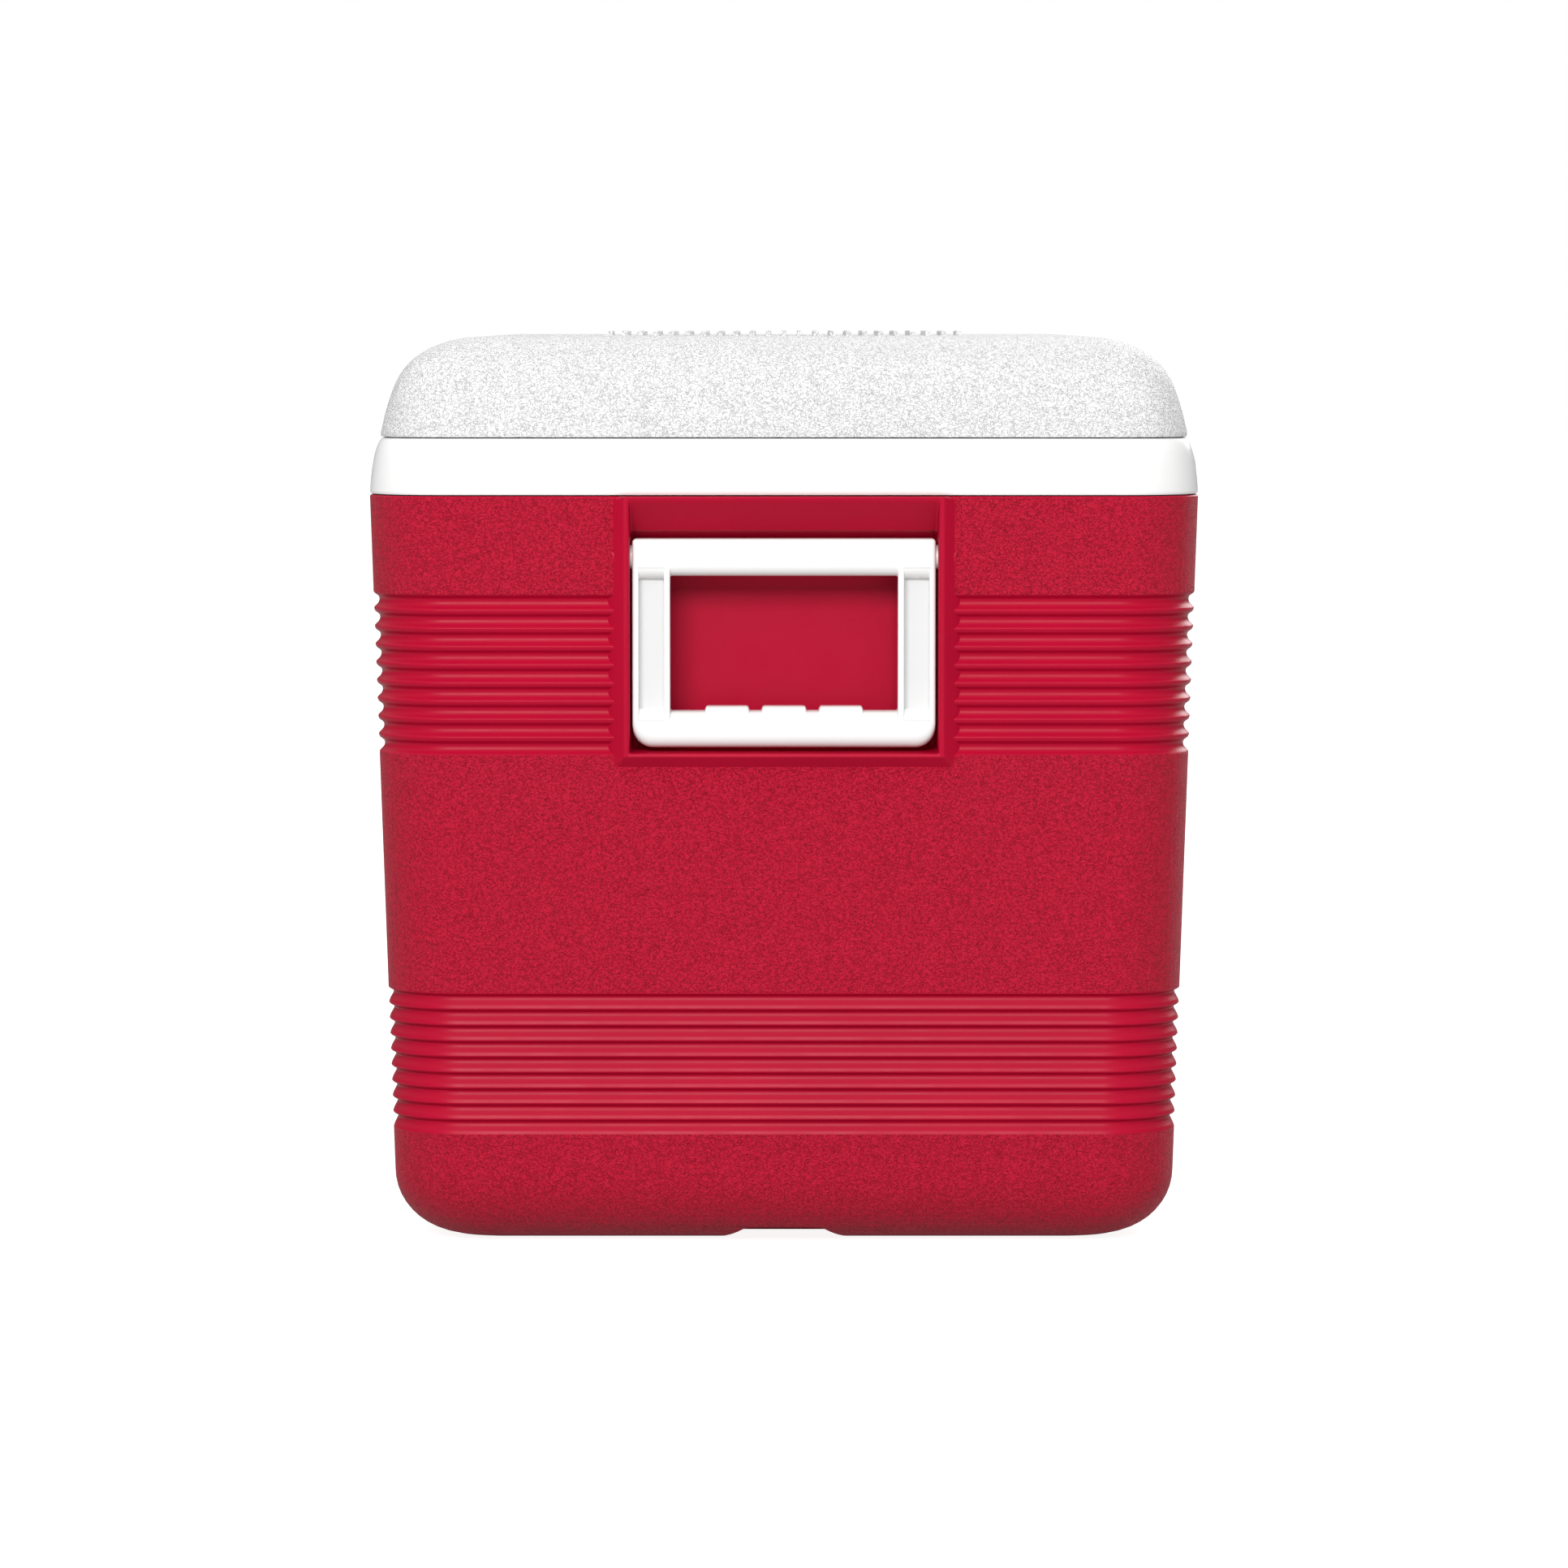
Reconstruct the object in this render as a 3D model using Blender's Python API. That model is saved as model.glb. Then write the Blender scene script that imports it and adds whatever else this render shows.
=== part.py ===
"""Insulated picnic cooler chest: ribbed outer tub, inner liner with collar, hinged lid,
two swing handles in framed recesses, two pinned hinges and a drain plug.

Metres, +Z up. X runs along the length, the lift tab is at -Y and the hinges are at +Y.
The origin is the middle of the underside. Heights below are measured from the underside.
"""

from math import asin, atan2, cos, hypot, pi, radians, sin, sqrt

import bmesh
import bpy
from mathutils import Matrix, Vector

# ---- overall size -----------------------------------------------------------------
LENGTH = 0.580            # over the two recess frames
WIDTH = 0.385             # across the collar
SHELL_TOP = 0.349
COLLAR_TOP = 0.3755
LID_BOTTOM = 0.3765
LID_TOP = 0.422

GAP = 0.0003              # free space kept between neighbouring pieces
WALL = 0.004              # outer tub
DRAFT = 0.0315            # how much each side draws in per metre of height
CORNER = 0.036            # corner radius seen from above
FRAME_RAISE = 0.0046      # the recess frame stands this far off the end wall
HALF_X = LENGTH / 2 - FRAME_RAISE
HALF_Y = WIDTH / 2

# ---- outer tub --------------------------------------------------------------------
FOOT_WIDTH = 0.0355       # bottom fillet, across, on the long sides
FOOT_END_WIDTH = 0.041    # the same at the ends
FOOT_HEIGHT = 0.033       # bottom fillet, up
FOOT_CORNER = 0.018       # corner radius of the flat underside
UPPER_BAND_TOP = 0.3033
UPPER_PITCH = 0.00839
LOWER_BAND_TOP = 0.1186
LOWER_PITCH = 0.00736
GROOVES = 9
UPPER_DEPTH = 0.0026
LOWER_DEPTH = 0.0023
NOTCH_TOP_HALF = 0.0175
NOTCH_BOTTOM_HALF = 0.030
NOTCH_HEIGHT = 0.0070
NOTCH_INNER_END = 0.215   # the notch runs from here out past the end
PAD_THICKNESS = 0.004     # local thickening of the floor over the notch
PAD_BOTTOM = 0.0034
PAD_OUTER_END = 0.2511

# ---- liner and collar -------------------------------------------------------------
CAVITY_X = 0.242          # half sizes of the mouth
CAVITY_Y = 0.1675
CAVITY_CORNER = 0.040
CAVITY_DRAFT = 0.030
CAVITY_FLOOR = 0.030
CAVITY_FILLET = 0.012
LINER_WALL = 0.0025
COLLAR_WALL = 0.003
TONGUE_BOTTOM = 0.339     # the collar's locating tongue reaches down to here
TONGUE_WALL = 0.0022
# collar profile: distance in from WIDTH / 2 against height
COLLAR = ((0.0006, 0.3496), (0.0001, 0.3504), (0.0003, 0.3540), (0.0008, 0.3590),
          (0.0017, 0.3650), (0.0029, 0.3700), (0.0044, 0.3735), (0.0058, 0.3755))

# ---- lid --------------------------------------------------------------------------
LID_WALL = 0.003
# lid side and shoulder: distance in from WIDTH / 2 against height
LID_SIDE = ((0.0068, 0.3765), (0.0056, 0.3772), (0.0053, 0.3785), (0.0061, 0.3815),
            (0.0069, 0.3850), (0.0080, 0.3890), (0.0095, 0.3938), (0.0115, 0.3992),
            (0.0140, 0.4042), (0.0176, 0.4090), (0.0226, 0.4135), (0.0288, 0.4172),
            (0.0355, 0.4198), (0.0425, 0.4214), (0.0495, 0.4220))
PLUG_BOTTOM = 0.3665
PLUG_CLEARANCE = 0.002
PAN_WALL = 0.0025
UPSTAND_TOP = 0.3815
RIB_PAD_RADIUS = 0.0905
RIBS = 23
RIB_PITCH = 0.0079
RIB_WIDTH = 0.0026
RIB_HEIGHT = 0.0023
TAB_HALF = 0.050
# lift tab section: distance from the middle plane against height, outside then inside
TAB_OUTSIDE = ((0.1830, 0.3890), (0.1890, 0.3850), (0.1936, 0.3800), (0.1984, 0.3737),
               (0.2034, 0.3620), (0.2041, 0.3575), (0.2036, 0.3550))
TAB_INSIDE = ((0.2018, 0.3550), (0.2010, 0.3580), (0.1990, 0.3640), (0.1950, 0.3725),
              (0.1905, 0.3775), (0.1830, 0.3800))

# ---- handle recess ----------------------------------------------------------------
OPENING_HALF = 0.0711
OPENING_TOP = 0.3471
OPENING_BOTTOM = 0.2306
LIP = 0.0028              # flat rim of the frame beside the opening
LIP_BELOW = 0.0019
FRAME_TOP = 0.34895
BLOCK_TOP = 0.3484        # top of the walls behind the frame
SIDE_DRAFT = 0.035        # recess side walls draw in by this much of the depth
RECESS_DEPTH = 0.034      # from the frame's outermost plane
RECESS_WALL = 0.003
FLOOR_RISE = 0.0015       # the recess floor rises this much towards the back
SEAT_RADIUS = 0.012       # round seat behind the pivot bar
SEAT_STEPS = 6
KNEE_DROP = 0.014         # from the seat the back wall slants to full depth

# ---- handles ----------------------------------------------------------------------
AXIS_DEPTH = 0.013
HANDLE_AXIS_X = LENGTH / 2 - AXIS_DEPTH
HANDLE_AXIS_Z = 0.3208
HANDLE_HALF = 0.06985
HANDLE_FRONT = 0.008      # from the axis to the front and to the back face
HANDLE_TOP = 0.0086
HANDLE_BOTTOM = -0.0877
HANDLE_CORNER = 0.0094
FINGER_HALF = 0.0525
FINGER_TOP = -0.0085
FINGER_BOTTOM = -0.0710
WEB_INNER = 0.0553
WEB_OUTER = 0.0669
WEB_TOP = -0.0098
WEB_BOTTOM = -0.0698
WEB_FRONT = 0.002         # front face of the arm's web, out from the axis
WEB_BACK = -0.001
CORE_HALF = 0.048         # hollows behind the two bars
CORE_MARGIN = 0.0042
CORE_DEPTH = 0.010
GRIP_PADS = ((-0.0367, -0.0158), (-0.0106, 0.0106), (0.0158, 0.0367))
GRIP_PAD_HEIGHT = 0.0023
AXLE_RADIUS = 0.0056
AXLE_END = 0.0760
BOSS_RADIUS = 0.0080
BOSS_END = 0.0790
BOSS_START = 0.0720

# ---- hinges -----------------------------------------------------------------------
HINGE_X = 0.100           # hinge centres, left and right of the middle
HINGE_Y = 0.1910
HINGE_Z = 0.3762
BARREL_RADIUS = 0.0030
LEAF_HALF = 0.025
KNUCKLE_HALF = 0.0102     # the lid's middle knuckle
KNUCKLE_SLOT = 0.0108     # the slot for it between the collar's knuckles
PIN_RADIUS = 0.0012
PIN_BORE = 0.0013
PIN_HALF = 0.0248
LEAF_GAP = 0.0004
BODY_LEAF_BOTTOM = 0.352
BODY_LEAF_FRONT = 0.1963
BODY_LEAF_SHOULDER = 0.3660   # the front leans in to the barrel above this
BODY_LEAF_SLOT = 0.3699
LID_LEAF_TOP = 0.3955
LID_LEAF_SLOT = 0.3818
LID_LEAF_THICKNESS = 0.0034
SCREW_SPREAD = 0.016
SCREW_HEAD_RADIUS = 0.0034
SCREW_HEAD = 0.0018
SCREW_RADIUS = 0.0016
SCREW_LENGTH = 0.0100
BODY_SCREW_Z = 0.3590
BODY_SCREW_SEAT = 0.1945  # underside of the head
LID_SCREW_Z = 0.3885
LID_SCREW_SEAT = 0.1866
BLOCK_HALF = 0.023        # moulded blocks behind the wall that take the screws
BODY_BLOCK = ((0.1800, 0.3530), (0.1905, 0.3650))
LID_BLOCK = ((0.1725, 0.3830), (0.1833, 0.3940))

# ---- drain ------------------------------------------------------------------------
DRAIN_Z = 0.047
DRAIN_BOSS_RADIUS = 0.020
DRAIN_FACE = 0.2775       # flat outer face of the boss
DRAIN_PAD_RADIUS = 0.016
DRAIN_PAD_FACE = 0.2235   # flat inner face on the liner
DRAIN_PAD_END = 0.2338    # inside the liner's wall
SPOUT_RADIUS = 0.0105
SPOUT_BORE = 0.0078
SPOUT_INNER_END = 0.2165
SPOUT_FLANGE_RADIUS = 0.0160
GASKET_THICKNESS = 0.0015
SPOUT_FLANGE_THICKNESS = 0.0034
NUT_RADIUS = 0.0140
NUT_LENGTH = 0.0060
STEM_RADIUS = 0.0073
STEM_INNER_END = 0.2530
PLUG_HEAD_RADIUS = 0.0130
SEAL_X = 0.2620
SEAL_HALF = 0.0011

CORNER_STEPS = 5
FILLET_STEPS = 4
ROUND_SIDES = 24
SMALL_SIDES = 16


# ---- shapes -----------------------------------------------------------------------
def ring(half_x, half_y, radius, z):
    """Points of a rounded rectangle at height z, anticlockwise from above."""
    points = []
    for quarter in range(4):
        turn = quarter * pi / 2
        side_x = 1 if quarter in (0, 3) else -1
        side_y = 1 if quarter in (0, 1) else -1
        for step in range(CORNER_STEPS + 1):
            angle = turn + step * pi / 2 / CORNER_STEPS
            x = side_x * (half_x - radius) + radius * cos(angle)
            y = side_y * (half_y - radius) + radius * sin(angle)
            points.append(Vector((x, y, z)))
    return points


def loft(bm, rings):
    """Skin rings of equal point count and close both ends."""
    rows = [[bm.verts.new(point) for point in points] for points in rings]
    for below, above in zip(rows, rows[1:]):
        for i in range(len(below)):
            j = (i + 1) % len(below)
            bm.faces.new((below[i], below[j], above[j], above[i]))
    bm.faces.new(reversed(rows[0]))
    bm.faces.new(rows[-1])


def add_box(bm, low, high):
    """A box between two corners."""
    size = [h - l for l, h in zip(low, high)]
    middle = [(h + l) / 2 for l, h in zip(low, high)]
    matrix = Matrix.Translation(middle) @ Matrix.Diagonal((*size, 1))
    bmesh.ops.create_cube(bm, size=1, matrix=matrix)


def add_prism(bm, outline, width_at):
    """An outline of (x, z) points, as wide in Y on both sides as width_at(x)."""
    sides = []
    for side in (-1, 1):
        sides.append([bm.verts.new((x, side * width_at(x), z)) for x, z in outline])
    count = len(outline)
    for i in range(count):
        j = (i + 1) % count
        bm.faces.new((sides[0][i], sides[0][j], sides[1][j], sides[1][i]))
    bm.faces.new(sides[0])
    bm.faces.new(reversed(sides[1]))


def add_bar(bm, outline, low_x, high_x):
    """An outline of (y, z) points drawn out along X."""
    ends = [[bm.verts.new((x, y, z)) for y, z in outline] for x in (low_x, high_x)]
    count = len(outline)
    for i in range(count):
        j = (i + 1) % count
        bm.faces.new((ends[0][i], ends[0][j], ends[1][j], ends[1][i]))
    bm.faces.new(ends[0])
    bm.faces.new(reversed(ends[1]))


def add_turned(bm, profile, centre, axis, sides=ROUND_SIDES, hollow=False):
    """Turn (along, radius) points about an axis through centre. A hollow one is a ring."""
    along = {"X": Vector((1, 0, 0)), "Y": Vector((0, 1, 0))}[axis]
    across = {"X": Vector((0, 1, 0)), "Y": Vector((1, 0, 0))}[axis]
    rows = []
    for distance, radius in profile:
        row = []
        for i in range(sides):
            angle = (i + 0.5) * 2 * pi / sides
            spoke = across * cos(angle) + Vector((0, 0, 1)) * sin(angle)
            row.append(bm.verts.new(Vector(centre) + along * distance + spoke * radius))
        rows.append(row)
    pairs = list(zip(rows, rows[1:]))
    if hollow:
        pairs.append((rows[-1], rows[0]))
    else:
        bm.faces.new(reversed(rows[0]))
        bm.faces.new(rows[-1])
    for first, second in pairs:
        for i in range(sides):
            j = (i + 1) % sides
            bm.faces.new((first[i], first[j], second[j], second[i]))


def mirrored_ends(bm, build):
    """Build a shape at the +X end and again, turned half a turn, at the -X end."""
    build(bm)
    end = bm.verts[:]
    copy = bmesh.ops.duplicate(bm, geom=end + bm.edges[:] + bm.faces[:])
    moved = [item for item in copy["geom"] if isinstance(item, bmesh.types.BMVert)]
    bmesh.ops.rotate(bm, verts=moved, cent=(0, 0, 0), matrix=Matrix.Rotation(pi, 3, "Z"))


# ---- objects ----------------------------------------------------------------------
def material(name, colour, roughness, metallic=0.0):
    made = bpy.data.materials.new(name)
    made.use_nodes = True
    shader = made.node_tree.nodes["Principled BSDF"]
    shader.inputs["Base Color"].default_value = (*colour, 1)
    shader.inputs["Roughness"].default_value = roughness
    shader.inputs["Metallic"].default_value = metallic
    return made


def solid(name, build, finish, smooth_angle=radians(35)):
    """A named object whose mesh build(bm) fills."""
    bm = bmesh.new()
    build(bm)
    bmesh.ops.recalc_face_normals(bm, faces=bm.faces[:])
    mesh = bpy.data.meshes.new(name)
    bm.to_mesh(mesh)
    bm.free()
    mesh.shade_smooth()
    mesh.set_sharp_from_angle(angle=smooth_angle)
    thing = bpy.data.objects.new(name, mesh)
    thing.data.materials.append(finish)
    bpy.context.scene.collection.objects.link(thing)
    return thing


def boolean(target, operation, name, build):
    """Join to, or cut from, target the hidden shape that build(bm) makes."""
    helper = solid(name, build, target.data.materials[0])
    helper.hide_render = True
    helper.display_type = "WIRE"
    modifier = target.modifiers.new(name, "BOOLEAN")
    modifier.operation = operation
    modifier.solver = "EXACT"
    modifier.object = helper


def pivot(name, location, things):
    """An empty on a joint's axis that carries its things."""
    empty = bpy.data.objects.new(name, None)
    empty.location = location
    bpy.context.scene.collection.objects.link(empty)
    for thing in things:
        thing.parent = empty
        thing.matrix_parent_inverse = Matrix.Translation(location).inverted()


# ---- outlines worked out from the sizes -------------------------------------------
def shell_inset(z):
    return DRAFT * (SHELL_TOP - z)


def upper_grooves():
    """(inset, height) points of the upper rib band, from its lowest groove up."""
    points = []
    for i in reversed(range(GROOVES)):
        top = UPPER_BAND_TOP - i * UPPER_PITCH
        points += [(0, top - 0.0063), (UPPER_DEPTH, top - 0.0038),
                   (UPPER_DEPTH, top - 0.0015), (0, top)]
    return points


def lower_grooves():
    """(inset, height) points of the lower, saw-toothed rib band, from its foot up."""
    points = [(0, LOWER_BAND_TOP - GROOVES * LOWER_PITCH)]
    for i in reversed(range(GROOVES)):
        top = LOWER_BAND_TOP - i * LOWER_PITCH
        points += [(LOWER_DEPTH, top - 0.0017), (0, top)]
    return points


def foot_rings(wall):
    """Rings of the rounded foot, from the flat underside up, in by wall."""
    side_inset = shell_inset(FOOT_HEIGHT)
    rings = []
    for step in range(FILLET_STEPS + 1):
        angle = step * pi / 2 / FILLET_STEPS
        end_inset, inset = (side_inset + wall + (width - wall) * (1 - sin(angle))
                            for width in (FOOT_END_WIDTH, FOOT_WIDTH))
        z = wall + (FOOT_HEIGHT - wall) * (1 - cos(angle))
        radius = FOOT_CORNER + (CORNER - wall - FOOT_CORNER) * sin(angle)
        rings.append(ring(HALF_X - end_inset, HALF_Y - inset, radius, z))
    return rings


def shell_ring(z, inset):
    total = shell_inset(z) + inset
    return ring(HALF_X - total, HALF_Y - total, CORNER - inset, z)


def cavity_ring(z, outwards=0.0):
    draw = CAVITY_DRAFT * (COLLAR_TOP - z)
    half_x = CAVITY_X - draw + outwards
    half_y = CAVITY_Y - draw + outwards
    return ring(half_x, half_y, CAVITY_CORNER + outwards, z)


def cavity_floor_rings(outwards):
    """Rings of the liner's rounded floor, from the flat up, offset outwards."""
    reach = CAVITY_FILLET + outwards
    rings = []
    for step in range(FILLET_STEPS + 1):
        angle = step * pi / 2 / FILLET_STEPS
        inset = CAVITY_DRAFT * (COLLAR_TOP - CAVITY_FLOOR) + CAVITY_FILLET - reach * sin(angle)
        z = CAVITY_FLOOR + CAVITY_FILLET - reach * cos(angle)
        rings.append(ring(CAVITY_X - inset, CAVITY_Y - inset, CAVITY_CORNER - inset, z))
    return rings


def side_ring(inset, z):
    """A ring in from the greatest width and length, for the collar and the lid."""
    return ring(HALF_X - inset, HALF_Y - inset, max(CORNER - inset, 0.014), z)


def side_at(profile, z):
    """Distance of the collar's or lid's side from the middle plane at a height."""
    for (inset_a, z_a), (inset_b, z_b) in zip(profile, profile[1:]):
        if z_a <= z <= z_b:
            share = (z - z_a) / (z_b - z_a)
            return HALF_Y - inset_a - (inset_b - inset_a) * share
    return HALF_Y


def lid_rings(wall, start=LID_BOTTOM):
    """Rings of the lid's side and shoulder from height start up, in by wall."""
    rings = [side_ring(HALF_Y - side_at(LID_SIDE, start) + wall, start)]
    for inset, z in offset_outline(LID_SIDE, -wall)[1:]:
        if z > start:
            rings.append(side_ring(inset, z))
    return rings


def handle_stop_angle():
    """Slope of the recess ceiling, on which the front of the raised handle comes to lie."""
    height = OPENING_TOP - HANDLE_AXIS_Z
    reach = hypot(AXIS_DEPTH, height)
    return atan2(height, AXIS_DEPTH) - asin((HANDLE_FRONT + GAP) / reach)


def recess_outline():
    """(depth, height) points of the recess from the top lip, round the back, to the bottom lip."""
    slope = handle_stop_angle()
    nearest = HANDLE_FRONT + GAP
    half_chord = sqrt(SEAT_RADIUS ** 2 - nearest ** 2)
    start = atan2(nearest * cos(slope) + half_chord * sin(slope),
                  nearest * sin(slope) - half_chord * cos(slope))
    points = [(0.0, OPENING_TOP)]
    for step in range(SEAT_STEPS + 1):
        angle = start * (1 - step / SEAT_STEPS)
        points.append((AXIS_DEPTH + SEAT_RADIUS * cos(angle),
                       HANDLE_AXIS_Z + SEAT_RADIUS * sin(angle)))
    points.append((RECESS_DEPTH, HANDLE_AXIS_Z - KNEE_DROP))
    points.append((RECESS_DEPTH, OPENING_BOTTOM + FLOOR_RISE))
    points.append((shell_inset(OPENING_BOTTOM), OPENING_BOTTOM))
    return points


def offset_outline(points, distance):
    """Move an open outline to its left by distance, keeping its corners sharp."""
    moved = []
    for i, (x, z) in enumerate(points):
        before = points[max(i - 1, 0)]
        after = points[min(i + 1, len(points) - 1)]
        first = Vector((x - before[0], z - before[1]))
        second = Vector((after[0] - x, after[1] - z))
        if first.length == 0:
            first = second
        if second.length == 0:
            second = first
        normals = [Vector((-v.y, v.x)).normalized() for v in (first, second)]
        bisector = (normals[0] + normals[1]).normalized()
        reach = distance / bisector.dot(normals[0])
        moved.append((x + bisector.x * reach, z + bisector.y * reach))
    return moved


def from_end(points):
    """Turn (depth, height) into (x, z) at the +X end."""
    return [(LENGTH / 2 - depth, z) for depth, z in points]


# ---- outer tub --------------------------------------------------------------------
def build_shell(bm):
    rings = foot_rings(0.0)
    profile = lower_grooves() + upper_grooves()
    rings += [shell_ring(z, inset) for inset, z in profile]
    rings += [shell_ring(SHELL_TOP - 0.0006, 0.0), shell_ring(SHELL_TOP, 0.0006)]
    rings += [shell_ring(SHELL_TOP, WALL)]
    rings += reversed(foot_rings(WALL))
    loft(bm, rings)


def build_frame(bm):
    """Raised frame with chamfered sides and bottom, flush with the rim at the top."""
    depth = FRAME_RAISE + 0.001
    corners = []
    for far, grow in ((0.0, 0.0), (depth, depth)):
        low = OPENING_BOTTOM - LIP_BELOW - grow
        half = OPENING_HALF + LIP + grow
        face = []
        for y, z in ((-half, low), (half, low), (half, FRAME_TOP), (-half, FRAME_TOP)):
            face.append(bm.verts.new((LENGTH / 2 - shell_inset(z) - far, y, z)))
        corners.append(face)
    bm.faces.new(corners[0])
    bm.faces.new(reversed(corners[1]))
    for i in range(4):
        j = (i + 1) % 4
        bm.faces.new((corners[0][i], corners[0][j], corners[1][j], corners[1][i]))


def recess_half(depth_wall):
    def half(x):
        return OPENING_HALF - SIDE_DRAFT * (LENGTH / 2 - x) + depth_wall
    return half


def build_recess_block(bm, grow=0.0):
    """The recess walls as a solid block, grown by grow where foam keeps clear of it."""
    outline = offset_outline(recess_outline(), RECESS_WALL + grow)
    (first, top), (second, under) = outline[:2]
    share = (top - BLOCK_TOP) / (top - under)
    outline[0] = (first + (second - first) * share, BLOCK_TOP)
    outline[-1] = (FRAME_RAISE + LIP_BELOW + 0.001, outline[-1][1])
    add_prism(bm, from_end(outline), recess_half(RECESS_WALL + grow))


def build_recess_cut(bm):
    outline = recess_outline()
    mouth = 0.006
    outline = [(-mouth, OPENING_TOP)] + outline + [(-mouth, OPENING_BOTTOM)]
    add_prism(bm, from_end(outline), recess_half(0.0))


def build_axle_bosses(bm, grow=0.0):
    centre = (HANDLE_AXIS_X, 0, HANDLE_AXIS_Z)
    for side in (-1, 1):
        radius = BOSS_RADIUS + grow
        ends = ((side * BOSS_START, radius), (side * (BOSS_END + grow), radius))
        add_turned(bm, ends, centre, "Y", SMALL_SIDES)


def build_axle_sockets(bm):
    centre = (HANDLE_AXIS_X, 0, HANDLE_AXIS_Z)
    radius = AXLE_RADIUS + GAP
    for side in (-1, 1):
        ends = ((side * (OPENING_HALF - 0.004), radius), (side * (AXLE_END + 0.0006), radius))
        add_turned(bm, ends, centre, "Y", SMALL_SIDES)


def build_notch_pad(bm, grow=0.0):
    """Local thickening of the floor above the notch."""
    half = NOTCH_BOTTOM_HALF + PAD_THICKNESS + grow
    add_box(bm, (NOTCH_INNER_END - PAD_THICKNESS - grow, -half, PAD_BOTTOM),
            (PAD_OUTER_END + grow, half, NOTCH_HEIGHT + PAD_THICKNESS + grow))


def build_notch(bm):
    below = -0.002
    low = (NOTCH_BOTTOM_HALF + NOTCH_TOP_HALF) / 2
    outline = [(-NOTCH_BOTTOM_HALF, below), (-NOTCH_BOTTOM_HALF, 0), (-low, NOTCH_HEIGHT * 0.4),
               (-NOTCH_TOP_HALF, NOTCH_HEIGHT), (NOTCH_TOP_HALF, NOTCH_HEIGHT),
               (low, NOTCH_HEIGHT * 0.4), (NOTCH_BOTTOM_HALF, 0), (NOTCH_BOTTOM_HALF, below)]
    add_bar(bm, outline, NOTCH_INNER_END, LENGTH / 2 + 0.01)


def drain_cylinder(bm, radius, low_x, high_x):
    add_turned(bm, ((low_x, radius), (high_x, radius)), (0, 0, DRAIN_Z), "X")


def make_shell(red):
    shell = solid("body_shell", build_shell, red)
    both = mirrored_ends
    boolean(shell, "UNION", "frames", lambda bm: both(bm, build_frame))
    boolean(shell, "UNION", "recess_blocks", lambda bm: both(bm, build_recess_block))
    boolean(shell, "UNION", "axle_bosses", lambda bm: both(bm, build_axle_bosses))
    boolean(shell, "UNION", "notch_pads", lambda bm: both(bm, build_notch_pad))
    boss_start = DRAIN_FACE - 0.0048
    boolean(shell, "UNION", "drain_boss",
            lambda bm: drain_cylinder(bm, DRAIN_BOSS_RADIUS, boss_start, DRAIN_FACE))
    boolean(shell, "DIFFERENCE", "recess_cuts", lambda bm: both(bm, build_recess_cut))
    boolean(shell, "DIFFERENCE", "axle_sockets", lambda bm: both(bm, build_axle_sockets))
    boolean(shell, "DIFFERENCE", "notches", lambda bm: both(bm, build_notch))
    boolean(shell, "DIFFERENCE", "drain_hole",
            lambda bm: drain_cylinder(bm, SPOUT_RADIUS + GAP, boss_start - 0.01, LENGTH / 2))


# ---- liner ------------------------------------------------------------------------
def tongue_inset(z):
    return WALL + GAP + shell_inset(z)


def build_liner(bm):
    flange_under = COLLAR_TOP - COLLAR_WALL
    collar_inner = COLLAR[-2][0] + COLLAR_WALL
    tongue_out = tongue_inset(TONGUE_BOTTOM)
    rings = cavity_floor_rings(LINER_WALL)
    rings.append(cavity_ring(flange_under, LINER_WALL))
    rings.append(side_ring(collar_inner, flange_under))
    rings.append(side_ring(tongue_out + TONGUE_WALL, TONGUE_BOTTOM))
    rings.append(side_ring(tongue_out, TONGUE_BOTTOM))
    rings.append(side_ring(tongue_out, COLLAR[0][1]))
    rings += [side_ring(inset, z) for inset, z in COLLAR]
    rings.append(cavity_ring(COLLAR_TOP, 0.0015))
    rings.append(cavity_ring(COLLAR_TOP - 0.0015))
    rings += reversed(cavity_floor_rings(0.0))
    loft(bm, rings)


def build_tongue_gaps(bm):
    """The tongue is left out where the handle recesses reach up to the rim."""
    half = OPENING_HALF + LIP + 0.006
    add_box(bm, (HALF_X - 0.012, -half, TONGUE_BOTTOM - 0.002),
            (HALF_X + 0.01, half, COLLAR[0][1] - 0.0001))


def screw_spots():
    return [hinge + offset for hinge in (-HINGE_X, HINGE_X) for offset in (-SCREW_SPREAD, SCREW_SPREAD)]


def build_blocks(bm, corners, grow=0.0):
    (low_y, low_z), (high_y, high_z) = corners
    for hinge in (-HINGE_X, HINGE_X):
        low = (hinge - BLOCK_HALF - grow, low_y - grow, low_z - grow)
        high = (hinge + BLOCK_HALF + grow, high_y + grow, high_z + grow)
        add_box(bm, low, high)


def build_screw_holes(bm, seat, z):
    """Holes for the screws' shanks, a little longer than the shanks."""
    radius = SCREW_RADIUS + GAP
    for x in screw_spots():
        ends = ((seat - SCREW_LENGTH - GAP, radius), (seat + 0.004, radius))
        add_turned(bm, ends, (x, 0, z), "Y", SMALL_SIDES)


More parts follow.
